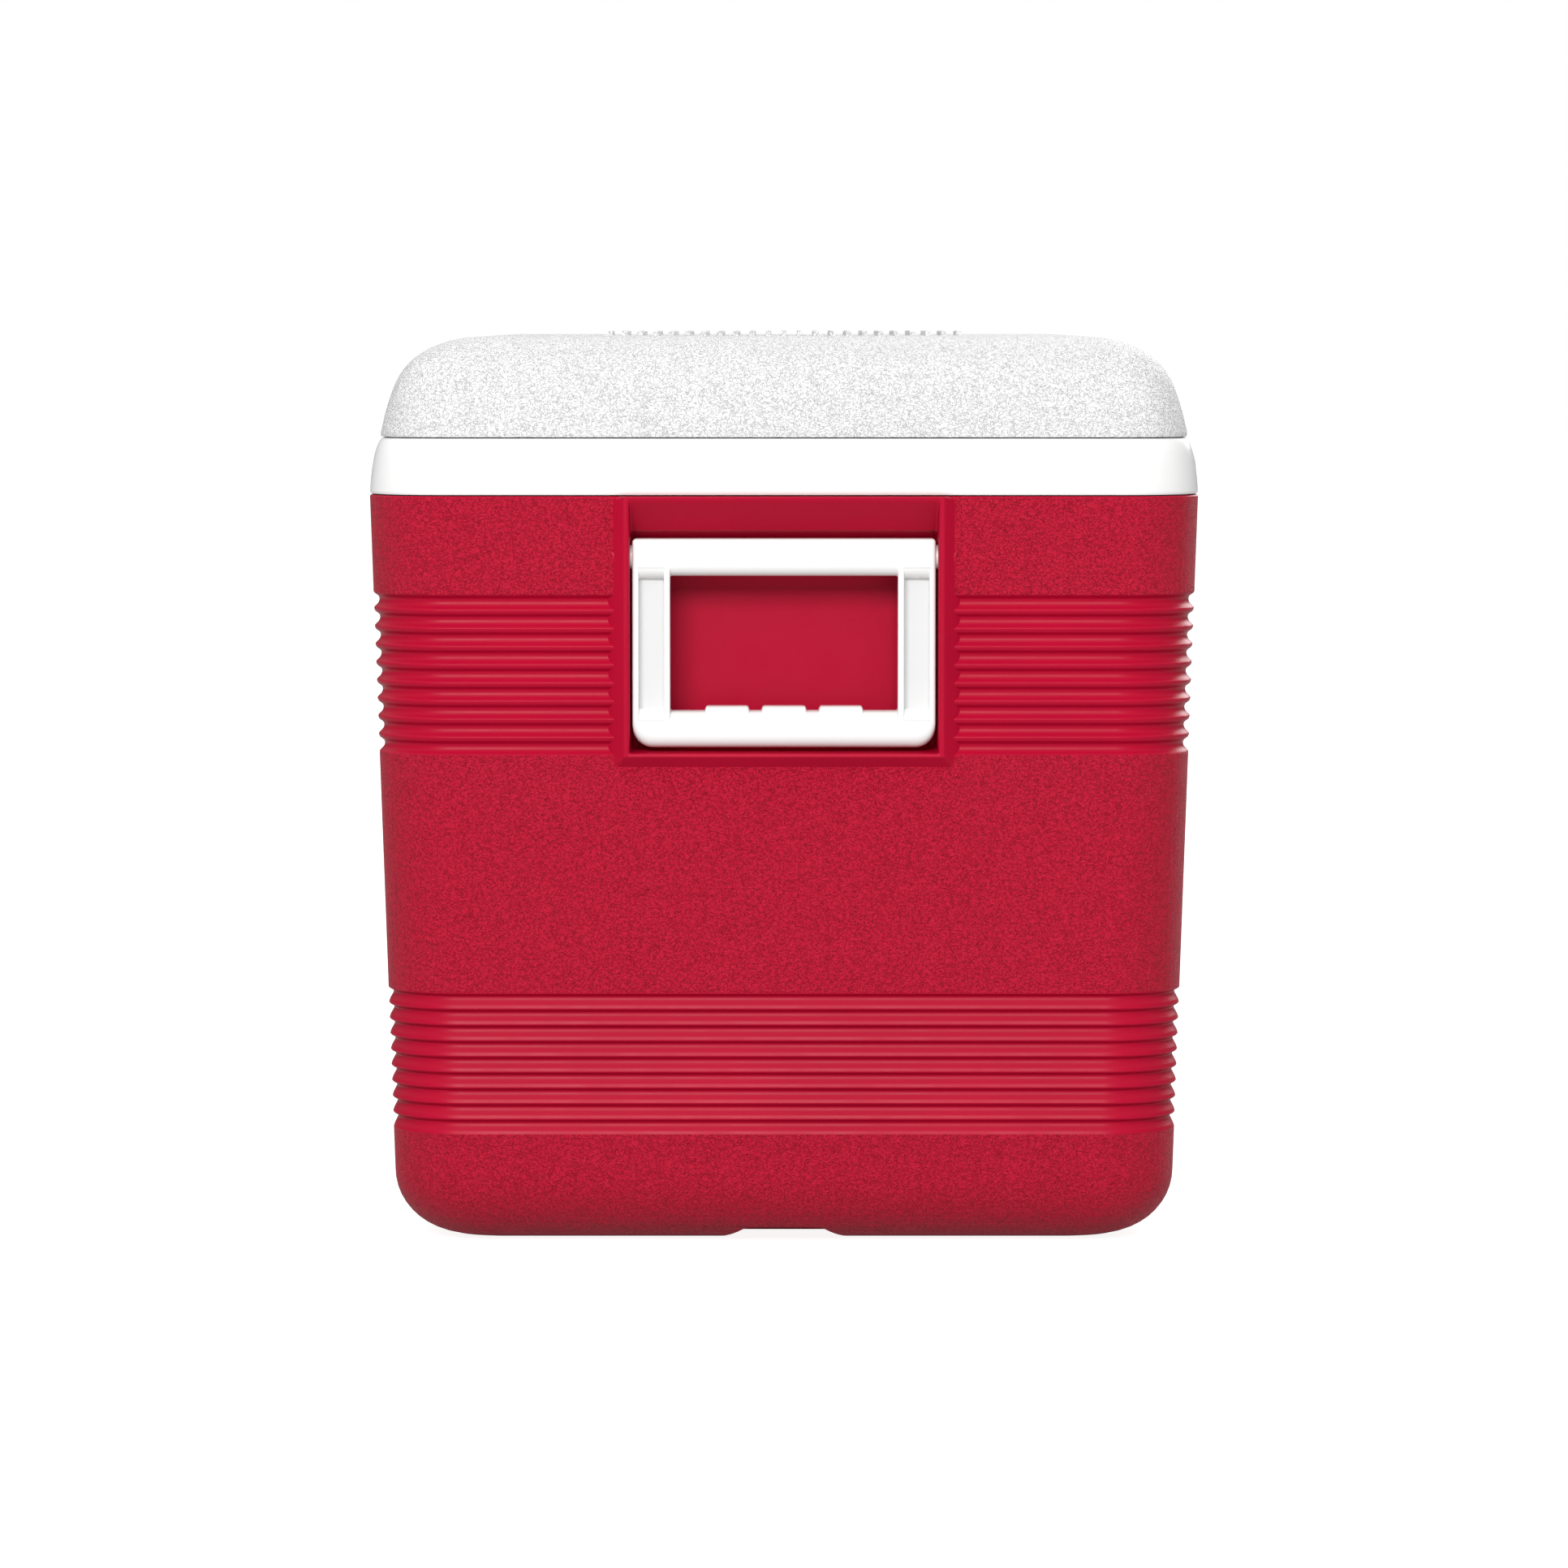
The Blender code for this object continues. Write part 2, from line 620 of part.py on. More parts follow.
def make_liner(white):
    liner = solid("inner_liner", build_liner, white)
    boolean(liner, "DIFFERENCE", "tongue_gaps", lambda bm: mirrored_ends(bm, build_tongue_gaps))
    boolean(liner, "UNION", "collar_blocks", lambda bm: build_blocks(bm, BODY_BLOCK))
    boolean(liner, "UNION", "drain_pad",
            lambda bm: drain_cylinder(bm, DRAIN_PAD_RADIUS, DRAIN_PAD_FACE, DRAIN_PAD_END))
    boolean(liner, "DIFFERENCE", "collar_screw_holes",
            lambda bm: build_screw_holes(bm, BODY_SCREW_SEAT, BODY_SCREW_Z))
    boolean(liner, "DIFFERENCE", "liner_drain_hole",
            lambda bm: drain_cylinder(bm, SPOUT_RADIUS + GAP, DRAIN_PAD_FACE - 0.01, CAVITY_X + 0.01))


# ---- insulation -------------------------------------------------------------------
def build_body_foam(bm):
    flange_under = COLLAR_TOP - COLLAR_WALL - GAP
    tongue_under = TONGUE_BOTTOM - GAP
    inside_tongue = tongue_inset(TONGUE_BOTTOM) + TONGUE_WALL + GAP
    inside_collar = COLLAR[-2][0] + COLLAR_WALL + GAP
    rings = foot_rings(WALL + GAP)
    rings.append(shell_ring(tongue_under, WALL + GAP))
    rings.append(side_ring(inside_tongue, tongue_under))
    rings.append(side_ring(inside_collar, flange_under))
    rings.append(cavity_ring(flange_under, LINER_WALL + GAP))
    rings += reversed(cavity_floor_rings(LINER_WALL + GAP))
    loft(bm, rings)


def make_body_foam(foam):
    body_foam = solid("body_foam", build_body_foam, foam)
    both = mirrored_ends
    boolean(body_foam, "DIFFERENCE", "foam_recess_cuts",
            lambda bm: both(bm, lambda end: build_recess_block(end, GAP)))
    boolean(body_foam, "DIFFERENCE", "foam_boss_cuts",
            lambda bm: both(bm, lambda end: build_axle_bosses(end, GAP)))
    boolean(body_foam, "DIFFERENCE", "foam_notch_cuts",
            lambda bm: both(bm, lambda end: build_notch_pad(end, GAP)))
    boolean(body_foam, "DIFFERENCE", "foam_block_cuts",
            lambda bm: build_blocks(bm, BODY_BLOCK, GAP))
    boolean(body_foam, "DIFFERENCE", "foam_pad_cut",
            lambda bm: drain_cylinder(bm, DRAIN_PAD_RADIUS + GAP, DRAIN_PAD_FACE, DRAIN_PAD_END + GAP))
    boolean(body_foam, "DIFFERENCE", "foam_drain_hole",
            lambda bm: drain_cylinder(bm, SPOUT_RADIUS + 2 * GAP, CAVITY_X - 0.03, LENGTH / 2))


# ---- lid --------------------------------------------------------------------------
def build_lid_shell(bm):
    loft(bm, list(reversed(lid_rings(0.0))) + lid_rings(LID_WALL))


def build_rib_pad(bm):
    """Straight ribs along X, trimmed to a round outline."""
    for i in range(RIBS):
        y = (i - (RIBS - 1) / 2) * RIB_PITCH
        half = sqrt(RIB_PAD_RADIUS ** 2 - y ** 2)
        add_box(bm, (-half, y - RIB_WIDTH / 2, LID_TOP - 0.001),
                (half, y + RIB_WIDTH / 2, LID_TOP + RIB_HEIGHT))


def build_tab(bm):
    outline = [(-y, z) for y, z in TAB_OUTSIDE + TAB_INSIDE]
    add_bar(bm, outline, -TAB_HALF, TAB_HALF)


def make_lid_shell(white):
    lid = solid("lid_shell", build_lid_shell, white)
    boolean(lid, "UNION", "lift_tab", build_tab)
    boolean(lid, "UNION", "rib_pad", build_rib_pad)
    boolean(lid, "UNION", "lid_blocks", lambda bm: build_blocks(bm, LID_BLOCK))
    boolean(lid, "DIFFERENCE", "lid_screw_holes",
            lambda bm: build_screw_holes(bm, LID_SCREW_SEAT, LID_SCREW_Z))
    return lid


def build_lid_liner(bm):
    """Pan: plug in the mouth, flat rest on the collar, upstand inside the lid's side."""
    rest = COLLAR_TOP + GAP
    side = LID_SIDE[0][0] + LID_WALL + GAP
    plug_out = -PLUG_CLEARANCE
    rings = [
        cavity_ring(PLUG_BOTTOM, plug_out - 0.0015),
        cavity_ring(PLUG_BOTTOM + 0.0015, plug_out),
        cavity_ring(rest, plug_out - CAVITY_DRAFT * 0.004),
        side_ring(side + 0.0006, rest),
        side_ring(side, rest + 0.0012),
        side_ring(side + 0.0004, UPSTAND_TOP),
        side_ring(side + PAN_WALL, UPSTAND_TOP),
        side_ring(side + PAN_WALL, rest + PAN_WALL),
        cavity_ring(rest + PAN_WALL, plug_out - PAN_WALL),
        cavity_ring(PLUG_BOTTOM + PAN_WALL, plug_out - PAN_WALL - 0.001),
    ]
    loft(bm, rings)


def build_lid_foam(bm):
    side = LID_SIDE[0][0] + LID_WALL + 2 * GAP + PAN_WALL
    pan_top = COLLAR_TOP + GAP + PAN_WALL + GAP
    plug_out = -PLUG_CLEARANCE - PAN_WALL - GAP
    rings = [
        cavity_ring(PLUG_BOTTOM + PAN_WALL + GAP, plug_out - 0.001),
        cavity_ring(pan_top, plug_out),
        side_ring(side, pan_top),
        side_ring(side, UPSTAND_TOP + GAP),
    ]
    rings += lid_rings(LID_WALL + GAP, UPSTAND_TOP + 2 * GAP)
    loft(bm, rings)


def make_lid_inside(white, foam):
    liner = solid("lid_liner", build_lid_liner, white)
    lid_foam = solid("lid_foam", build_lid_foam, foam)
    boolean(lid_foam, "DIFFERENCE", "lid_foam_block_cuts",
            lambda bm: build_blocks(bm, LID_BLOCK, GAP))
    return [liner, lid_foam]


# ---- handles ----------------------------------------------------------------------
def rounded_outline(half, low, high, corner, steps=4):
    """(y, z) outline with round bottom corners and plain top corners."""
    points = []
    for side in (-1, 1):
        arc = []
        for step in range(steps + 1):
            angle = step * pi / 2 / steps
            arc.append((side * (half - corner + corner * cos(angle)), low + corner * (1 - sin(angle))))
        points += arc if side < 0 else reversed(arc)
    points += [(half, high), (-half, high)]
    return points


def in_place(build, turned):
    """Shift a shape built round the handle's axis to its end of the chest."""
    def placed(bm):
        build(bm)
        bmesh.ops.translate(bm, verts=bm.verts[:], vec=(HANDLE_AXIS_X, 0, HANDLE_AXIS_Z))
        if turned:
            turn = Matrix.Rotation(pi, 3, "Z")
            bmesh.ops.rotate(bm, verts=bm.verts[:], cent=(0, 0, 0), matrix=turn)
    return placed


def build_handle_block(bm):
    outline = rounded_outline(HANDLE_HALF, HANDLE_BOTTOM, HANDLE_TOP, HANDLE_CORNER)
    add_bar(bm, outline, -HANDLE_FRONT, HANDLE_FRONT)
    rims = [edge for edge in bm.edges if abs(edge.verts[0].co.x - edge.verts[1].co.x) < 1e-6]
    bmesh.ops.bevel(bm, geom=rims, offset=0.0014, segments=2, profile=0.5, affect="EDGES")


def build_handle_cuts(bm):
    """Finger opening, channels in the arms and hollows behind the bars."""
    past = HANDLE_FRONT + 0.002
    add_box(bm, (-past, -FINGER_HALF, FINGER_BOTTOM), (past, FINGER_HALF, FINGER_TOP))
    for low, high in ((-WEB_OUTER, -WEB_INNER), (WEB_INNER, WEB_OUTER)):
        add_box(bm, (WEB_FRONT, low, WEB_BOTTOM), (past, high, WEB_TOP))
        add_box(bm, (-past, low, WEB_BOTTOM), (WEB_BACK, high, WEB_TOP))
    for low, high in ((FINGER_TOP, HANDLE_TOP), (HANDLE_BOTTOM, FINGER_BOTTOM)):
        add_box(bm, (-past, -CORE_HALF, low + CORE_MARGIN),
                (CORE_DEPTH - HANDLE_FRONT, CORE_HALF, high - CORE_MARGIN))


def build_handle_extras(bm):
    """Stub axles at the pivot and the three pads on the grip."""
    for side in (-1, 1):
        ends = ((side * (HANDLE_HALF - 0.003), AXLE_RADIUS), (side * AXLE_END, AXLE_RADIUS))
        add_turned(bm, ends, (0, 0, 0), "Y", SMALL_SIDES)
    for low, high in GRIP_PADS:
        add_box(bm, (-HANDLE_FRONT + 0.0015, low, FINGER_BOTTOM - 0.001),
                (HANDLE_FRONT - 0.0015, high, FINGER_BOTTOM + GRIP_PAD_HEIGHT))


def make_handle(name, white, turned):
    handle = solid(name, in_place(build_handle_block, turned), white)
    boolean(handle, "DIFFERENCE", name + "_cuts", in_place(build_handle_cuts, turned))
    boolean(handle, "UNION", name + "_extras", in_place(build_handle_extras, turned))
    side = -1 if turned else 1
    pivot(name + "_axis", (side * HANDLE_AXIS_X, 0, HANDLE_AXIS_Z), [handle])


# ---- hinges -----------------------------------------------------------------------
def barrel_arc(start, end, steps=10):
    """(y, z) points round the hinge axis, angles in degrees from +Y."""
    points = []
    for step in range(steps + 1):
        angle = radians(start + (end - start) * step / steps)
        points.append((HINGE_Y + BARREL_RADIUS * cos(angle), HINGE_Z + BARREL_RADIUS * sin(angle)))
    return points


def build_body_leaf(bm, hinge):
    back = [(side_at(COLLAR, z) + LEAF_GAP, z) for z in (0.3703, 0.3650, 0.3590, BODY_LEAF_BOTTOM)]
    front = [(BODY_LEAF_FRONT, BODY_LEAF_BOTTOM), (BODY_LEAF_FRONT, BODY_LEAF_SHOULDER)]
    outline = front + barrel_arc(12, 215) + back
    add_bar(bm, outline, hinge - LEAF_HALF, hinge + LEAF_HALF)


def build_lid_leaf(bm, hinge):
    heights = (0.3822, 0.3850, 0.3890, 0.3925, LID_LEAF_TOP)
    back = [(side_at(LID_SIDE, z) + LEAF_GAP, z) for z in heights]
    front = [(y + LID_LEAF_THICKNESS, z) for y, z in back[1:]]
    outline = barrel_arc(35, -215) + back + list(reversed(front))
    add_bar(bm, outline, hinge - LEAF_HALF, hinge + LEAF_HALF)


def build_leaf_cuts(bm, hinge, seat, z):
    """Pin bore, shank holes and counterbores of one leaf."""
    bore = ((hinge - 0.03, PIN_BORE), (hinge + 0.03, PIN_BORE))
    add_turned(bm, bore, (0, HINGE_Y, HINGE_Z), "X", SMALL_SIDES)
    for offset in (-SCREW_SPREAD, SCREW_SPREAD):
        profile = ((seat - 0.008, SCREW_RADIUS + GAP), (seat - GAP, SCREW_RADIUS + GAP),
                   (seat - GAP, SCREW_HEAD_RADIUS + GAP), (seat + 0.008, SCREW_HEAD_RADIUS + GAP))
        add_turned(bm, profile, (hinge + offset, 0, z), "Y", SMALL_SIDES)


def build_body_slot(bm, hinge):
    add_box(bm, (hinge - KNUCKLE_SLOT, 0.180, BODY_LEAF_SLOT), (hinge + KNUCKLE_SLOT, 0.200, 0.390))


def build_lid_slots(bm, hinge):
    for side in (-1, 1):
        near = hinge + side * KNUCKLE_HALF
        far = hinge + side * (LEAF_HALF + 0.005)
        add_box(bm, (min(near, far), 0.180, 0.365), (max(near, far), 0.200, LID_LEAF_SLOT))


def build_screw(bm, x, seat, z):
    chamfer = 0.0005
    profile = ((seat - SCREW_LENGTH, SCREW_RADIUS * 0.6), (seat - SCREW_LENGTH + 0.002, SCREW_RADIUS),
               (seat, SCREW_RADIUS), (seat, SCREW_HEAD_RADIUS),
               (seat + SCREW_HEAD - chamfer, SCREW_HEAD_RADIUS),
               (seat + SCREW_HEAD, SCREW_HEAD_RADIUS - chamfer))
    add_turned(bm, profile, (x, 0, z), "Y", SMALL_SIDES)


def make_hinge(side, hinge, white, steel):
    body_leaf = solid(f"hinge_{side}_body_leaf", lambda bm: build_body_leaf(bm, hinge), white)
    boolean(body_leaf, "DIFFERENCE", side + "_body_slot", lambda bm: build_body_slot(bm, hinge))
    boolean(body_leaf, "DIFFERENCE", side + "_body_leaf_holes",
            lambda bm: build_leaf_cuts(bm, hinge, BODY_SCREW_SEAT, BODY_SCREW_Z))
    lid_leaf = solid(f"hinge_{side}_lid_leaf", lambda bm: build_lid_leaf(bm, hinge), white)
    boolean(lid_leaf, "DIFFERENCE", side + "_lid_slots", lambda bm: build_lid_slots(bm, hinge))
    boolean(lid_leaf, "DIFFERENCE", side + "_lid_leaf_holes",
            lambda bm: build_leaf_cuts(bm, hinge, LID_SCREW_SEAT, LID_SCREW_Z))
    ends = ((hinge - PIN_HALF, PIN_RADIUS), (hinge + PIN_HALF, PIN_RADIUS))
    solid(f"hinge_{side}_pin",
          lambda bm: add_turned(bm, ends, (0, HINGE_Y, HINGE_Z), "X", SMALL_SIDES), steel)
    moving = [lid_leaf]
    for number, x in enumerate((hinge - SCREW_SPREAD, hinge + SCREW_SPREAD), 1):
        solid(f"hinge_{side}_body_screw_{number}",
              lambda bm, x=x: build_screw(bm, x, BODY_SCREW_SEAT, BODY_SCREW_Z), steel)
        moving.append(solid(f"hinge_{side}_lid_screw_{number}",
                            lambda bm, x=x: build_screw(bm, x, LID_SCREW_SEAT, LID_SCREW_Z), steel))
    return moving


# ---- drain ------------------------------------------------------------------------
def make_drain(white, rubber):
    flange_back = DRAIN_FACE + GASKET_THICKNESS + 2 * GAP
    flange_front = flange_back + SPOUT_FLANGE_THICKNESS
    centre = (0, 0, DRAIN_Z)
    spout = ((SPOUT_INNER_END, SPOUT_BORE), (SPOUT_INNER_END, SPOUT_RADIUS),
             (flange_back, SPOUT_RADIUS), (flange_back, SPOUT_FLANGE_RADIUS),
             (flange_front - 0.001, SPOUT_FLANGE_RADIUS),
             (flange_front, SPOUT_FLANGE_RADIUS - 0.001), (flange_front, SPOUT_BORE))
    solid("drain_spout", lambda bm: add_turned(bm, spout, centre, "X", hollow=True), white)
    gasket_low = DRAIN_FACE + GAP
    gasket = ((gasket_low, SPOUT_RADIUS + GAP), (gasket_low, SPOUT_FLANGE_RADIUS - GAP),
              (gasket_low + GASKET_THICKNESS, SPOUT_FLANGE_RADIUS - GAP),
              (gasket_low + GASKET_THICKNESS, SPOUT_RADIUS + GAP))
    solid("drain_gasket", lambda bm: add_turned(bm, gasket, centre, "X", hollow=True), rubber)
    nut_high = DRAIN_PAD_FACE - GAP
    nut_low = nut_high - NUT_LENGTH
    nut = ((nut_low, SPOUT_RADIUS + GAP), (nut_low, NUT_RADIUS), (nut_high, NUT_RADIUS),
           (nut_high, SPOUT_RADIUS + GAP))
    solid("drain_nut", lambda bm: add_turned(bm, nut, centre, "X", hollow=True), white)
    head = flange_front + GAP
    groove = SEAL_HALF + GAP
    plug_profile = (
        (STEM_INNER_END, STEM_RADIUS - 0.0015), (STEM_INNER_END + 0.003, STEM_RADIUS),
        (SEAL_X - groove, STEM_RADIUS), (SEAL_X - groove, STEM_RADIUS - 0.0015),
        (SEAL_X + groove, STEM_RADIUS - 0.0015), (SEAL_X + groove, STEM_RADIUS),
        (head, STEM_RADIUS), (head, PLUG_HEAD_RADIUS), (head + 0.0022, PLUG_HEAD_RADIUS),
        (head + 0.003, PLUG_HEAD_RADIUS - 0.001), (head + 0.003, 0.0068),
        (head + 0.0058, 0.0062), (head + 0.0066, 0.0050))
    plug = solid("drain_plug", lambda bm: add_turned(bm, plug_profile, centre, "X"), white)
    seal_profile = (
        (SEAL_X - SEAL_HALF, STEM_RADIUS - 0.0015 + GAP), (SEAL_X - SEAL_HALF, STEM_RADIUS),
        (SEAL_X - SEAL_HALF / 2, STEM_RADIUS + 0.0003), (SEAL_X + SEAL_HALF / 2, STEM_RADIUS + 0.0003),
        (SEAL_X + SEAL_HALF, STEM_RADIUS), (SEAL_X + SEAL_HALF, STEM_RADIUS - 0.0015 + GAP))
    seal = solid("drain_plug_seal",
                 lambda bm: add_turned(bm, seal_profile, centre, "X", hollow=True), rubber)
    pivot("drain_plug_line", (head, 0, DRAIN_Z), [plug, seal])


def clear_scene():
    for thing in list(bpy.data.objects):
        bpy.data.objects.remove(thing)


def main():
    clear_scene()
    red = material("red_plastic", (0.47, 0.013, 0.038), 0.45)
    white = material("white_plastic", (0.86, 0.86, 0.85), 0.25)
    lid_white = material("lid_plastic", (0.84, 0.84, 0.83), 0.45)
    foam = material("foam", (0.85, 0.78, 0.55), 0.9)
    steel = material("steel", (0.62, 0.62, 0.62), 0.35, 1.0)
    rubber = material("rubber", (0.03, 0.03, 0.03), 0.8)
    make_shell(red)
    make_liner(white)
    make_body_foam(foam)
    lid = [make_lid_shell(lid_white)] + make_lid_inside(white, foam)
    make_handle("handle_left", white, turned=True)
    make_handle("handle_right", white, turned=False)
    lid += make_hinge("left", -HINGE_X, white, steel)
    lid += make_hinge("right", HINGE_X, white, steel)
    make_drain(white, rubber)
    pivot("lid_axis", (0, HINGE_Y, HINGE_Z), lid)


main()
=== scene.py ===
"""Looks of the insulated picnic cooler chest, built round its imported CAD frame.

Metres, +Z up. X runs along the length, the lift tab is at -Y and the hinges are at +Y.
The camera faces the -X end. The outer pieces are finer meshes that stand for CAD nodes.
"""

from math import cos, pi, radians, sin, sqrt

import bmesh
import bpy
from mathutils import Matrix, Vector


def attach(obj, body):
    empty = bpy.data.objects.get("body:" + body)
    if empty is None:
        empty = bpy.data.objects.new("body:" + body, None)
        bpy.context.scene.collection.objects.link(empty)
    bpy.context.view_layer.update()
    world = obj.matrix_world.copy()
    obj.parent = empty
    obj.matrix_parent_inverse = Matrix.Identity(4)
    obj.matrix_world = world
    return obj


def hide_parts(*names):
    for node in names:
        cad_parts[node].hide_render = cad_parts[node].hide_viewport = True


# ---- sizes ------------------------------------------------------------------------------
# A size that the CAD part has under the same name has the same value there, except the lid's
# lower edge (LID_BOTTOM and the first points of LID_SIDE), which comes lower here for a thin seam.
# COLLAR and LID_SIDE are (distance in from HALF_Y, height) points of a side as seen from the end;
# the TAB points are (distance out from the middle, height).
LENGTH = 0.580
WIDTH = 0.385
SHELL_TOP = 0.349
COLLAR_TOP = 0.3755
LID_BOTTOM = 0.3759
LID_TOP = 0.422
GAP = 0.0003              # free space kept between neighbouring pieces
WALL = 0.004              # outer tub
DRAFT = 0.0315            # how much each side draws in per metre of height
CORNER = 0.036            # corner radius seen from above
FRAME_RAISE = 0.0046      # the recess frame stands this far off the end wall
HALF_X = LENGTH / 2 - FRAME_RAISE
HALF_Y = WIDTH / 2

FOOT_WIDTH = 0.0355       # bottom fillet, across, on the long sides
FOOT_END_WIDTH = 0.041    # the same at the ends
FOOT_HEIGHT = 0.033       # bottom fillet, up
FOOT_CORNER = 0.018       # corner radius of the flat underside
UPPER_BAND_TOP = 0.3033
UPPER_PITCH = 0.00839
LOWER_BAND_TOP = 0.1186
LOWER_PITCH = 0.00736
GROOVES = 9
UPPER_DEPTH = 0.0026
LOWER_DEPTH = 0.0023
# One lower rib, from its crest up its slope into the groove and out again to the rib above:
# (share of the depth, drop below the crest above).
TOOTH = ((0.0, 0.0070), (0.05, 0.0066), (0.15, 0.0060), (0.25, 0.0054), (0.44, 0.0047),
         (0.68, 0.0038), (0.89, 0.0029), (1.0, 0.0020), (0.96, 0.0014), (0.72, 0.0009),
         (0.20, 0.0003))
# One upper groove in the same terms.
WAVE = ((0.0, 0.0071), (0.12, 0.0063), (0.72, 0.0048), (1.0, 0.0030), (0.86, 0.0014),
        (0.22, 0.0001))
NOTCH_TOP_HALF = 0.0175
NOTCH_MIDDLE_HALF = 0.0234
NOTCH_BOTTOM_HALF = 0.030
NOTCH_HEIGHT = 0.0070
NOTCH_INNER_END = 0.215   # the notch runs from here out past the end
PAD_THICKNESS = 0.004     # local thickening of the floor over the notch
PAD_BOTTOM = 0.0034
PAD_OUTER_END = 0.2511

CAVITY_X = 0.242          # half sizes of the mouth
CAVITY_Y = 0.1675
CAVITY_CORNER = 0.040
CAVITY_DRAFT = 0.030
CAVITY_FLOOR = 0.030
CAVITY_FILLET = 0.012
LINER_WALL = 0.0025
COLLAR_WALL = 0.003
TONGUE_BOTTOM = 0.339     # the collar's locating tongue reaches down to here
TONGUE_WALL = 0.0022
MOUTH_ROUND = 0.0022      # round between the collar's top and the cavity
COLLAR = ((0.0006, 0.3496), (0.0001, 0.3504), (0.0003, 0.3540), (0.0008, 0.3590),
          (0.0017, 0.3650), (0.0029, 0.3700), (0.0044, 0.3735), (0.0058, 0.3755))

LID_WALL = 0.003
LID_SIDE = ((0.0068, 0.3759), (0.0058, 0.37593), (0.0054, 0.3762), (0.00532, 0.3769),
            (0.0054, 0.3785), (0.0061, 0.3815), (0.0069, 0.3850), (0.0080, 0.3890),
            (0.0095, 0.3938), (0.0115, 0.3992), (0.0140, 0.4042), (0.0176, 0.4090),
            (0.0226, 0.4135), (0.0288, 0.4172), (0.0355, 0.4198), (0.0425, 0.4214),
            (0.0495, 0.4220))
PLUG_BOTTOM = 0.3665
PLUG_CLEARANCE = 0.002
PAN_WALL = 0.0025
UPSTAND_TOP = 0.3815
RIB_PAD_RADIUS = 0.0905
RIBS = 23
RIB_PITCH = 0.0079
RIB_WIDTH = 0.0026
RIB_HEIGHT = 0.0023
TAB_HALF = 0.050
TAB_OUTSIDE = ((0.1830, 0.3890), (0.1890, 0.3850), (0.1936, 0.3800), (0.1984, 0.3737),
               (0.2034, 0.3620), (0.2041, 0.3575), (0.2036, 0.3550))
TAB_INSIDE = ((0.2018, 0.3550), (0.2010, 0.3580), (0.1990, 0.3640), (0.1950, 0.3725),
              (0.1905, 0.3775), (0.1830, 0.3800))
TAB_TIP = ((0.2034, 0.3546), (0.2022, 0.3546))

OPENING_HALF = 0.0711
OPENING_TOP = 0.3471
OPENING_BOTTOM = 0.2306
LIP = 0.0028
LIP_BELOW = 0.0019
FRAME_TOP = 0.34895
BLOCK_TOP = 0.3484
SIDE_DRAFT = 0.035
RECESS_DEPTH = 0.034
RECESS_WALL = 0.003
RECESS_CORNER = 0.0012
BACK_FILLET = 0.002
BACK_ROUND = 0.0005       # how deep that fillet goes
MOUTH_FLARE = 0.0013
FLOOR_RISE = 0.0015
LEAN_START = 0.002        # from this depth the sections turn from the sloping face to upright
LEAN_LENGTH = 0.008
SEAT_RADIUS = 0.012       # round of the ceiling over the handle's axle
SEAT_ANGLE = radians(84)
SLOPE_END = (0.0132, 0.3328)   # (depth, height) where the sloping ceiling meets the seat
KNEE_DROP = 0.014

AXIS_DEPTH = 0.013        # handle axis behind the frame's face
HANDLE_AXIS_X = LENGTH / 2 - AXIS_DEPTH
HANDLE_AXIS_Z = 0.3208
HANDLE_HALF = 0.06985
HANDLE_FRONT = 0.008
HANDLE_TOP = 0.0086
HANDLE_BOTTOM = -0.0877
HANDLE_CORNER = 0.0094
HANDLE_TOP_CORNER = 0.0018
FINGER_HALF = 0.0525
FINGER_TOP = -0.0085
FINGER_BOTTOM = -0.0710
WEB_INNER = 0.0553
WEB_OUTER = 0.0669
WEB_TOP = -0.0098
WEB_BOTTOM = -0.0698
WEB_FRONT = 0.002
WEB_BACK = -0.001
CORE_HALF = 0.048
CORE_MARGIN = 0.0042
CORE_DEPTH = 0.010
GRIP_PADS = ((-0.0367, -0.0158), (-0.0106, 0.0106), (0.0158, 0.0367))
GRIP_PAD_HEIGHT = 0.0023
AXLE_RADIUS = 0.0056
AXLE_END = 0.0760
BOSS_RADIUS = 0.0080
BOSS_END = 0.0790
BOSS_START = 0.0720
BAR_ROUND = HANDLE_FRONT - WEB_FRONT   # depth of the round on the bars' front edges
BAR_DROP = 0.0055
FLANGE_EDGE = 0.0006

HINGE_X = 0.100
SCREW_SPREAD = 0.016
SCREW_RADIUS = 0.0016
SCREW_LENGTH = 0.0100
BODY_SCREW_Z = 0.3590
BODY_SCREW_SEAT = 0.1945
LID_SCREW_Z = 0.3885
LID_SCREW_SEAT = 0.1866
BLOCK_HALF = 0.023
BODY_BLOCK = ((0.1800, 0.3530), (0.1905, 0.3650))
LID_BLOCK = ((0.1725, 0.3830), (0.1833, 0.3940))

DRAIN_Z = 0.047
DRAIN_BOSS_RADIUS = 0.020
DRAIN_FACE = 0.2775
DRAIN_PAD_RADIUS = 0.016
DRAIN_PAD_FACE = 0.2235
DRAIN_PAD_END = 0.2338
SPOUT_RADIUS = 0.0105

# ---- fineness of the meshes -----------------------------------------------------------
CORNER_STEPS = 14
FOOT_STEPS = 12
SEAT_STEPS = 12
ROUND_SIDES = 48
SHARP = radians(38)       # edges that bend more than this stay sharp in the shading
HANDLE_SHARP = radians(32)
BEVEL_OVER = radians(35)

# ---- camera: straight at the -X end ---------------------------------------------------
CAMERA_PLACE = (-3.2778, 0.0, 0.4314)
CAMERA_PITCH = radians(4.107)
LENS = 149.467
SENSOR = 36.0

# ---- light: strength of the surround at the horizon and overhead ----------------------
SKY_HORIZON = 0.12
SKY_TOP = 0.9


LIGHT_TARGET = (0, 0, 0.22)

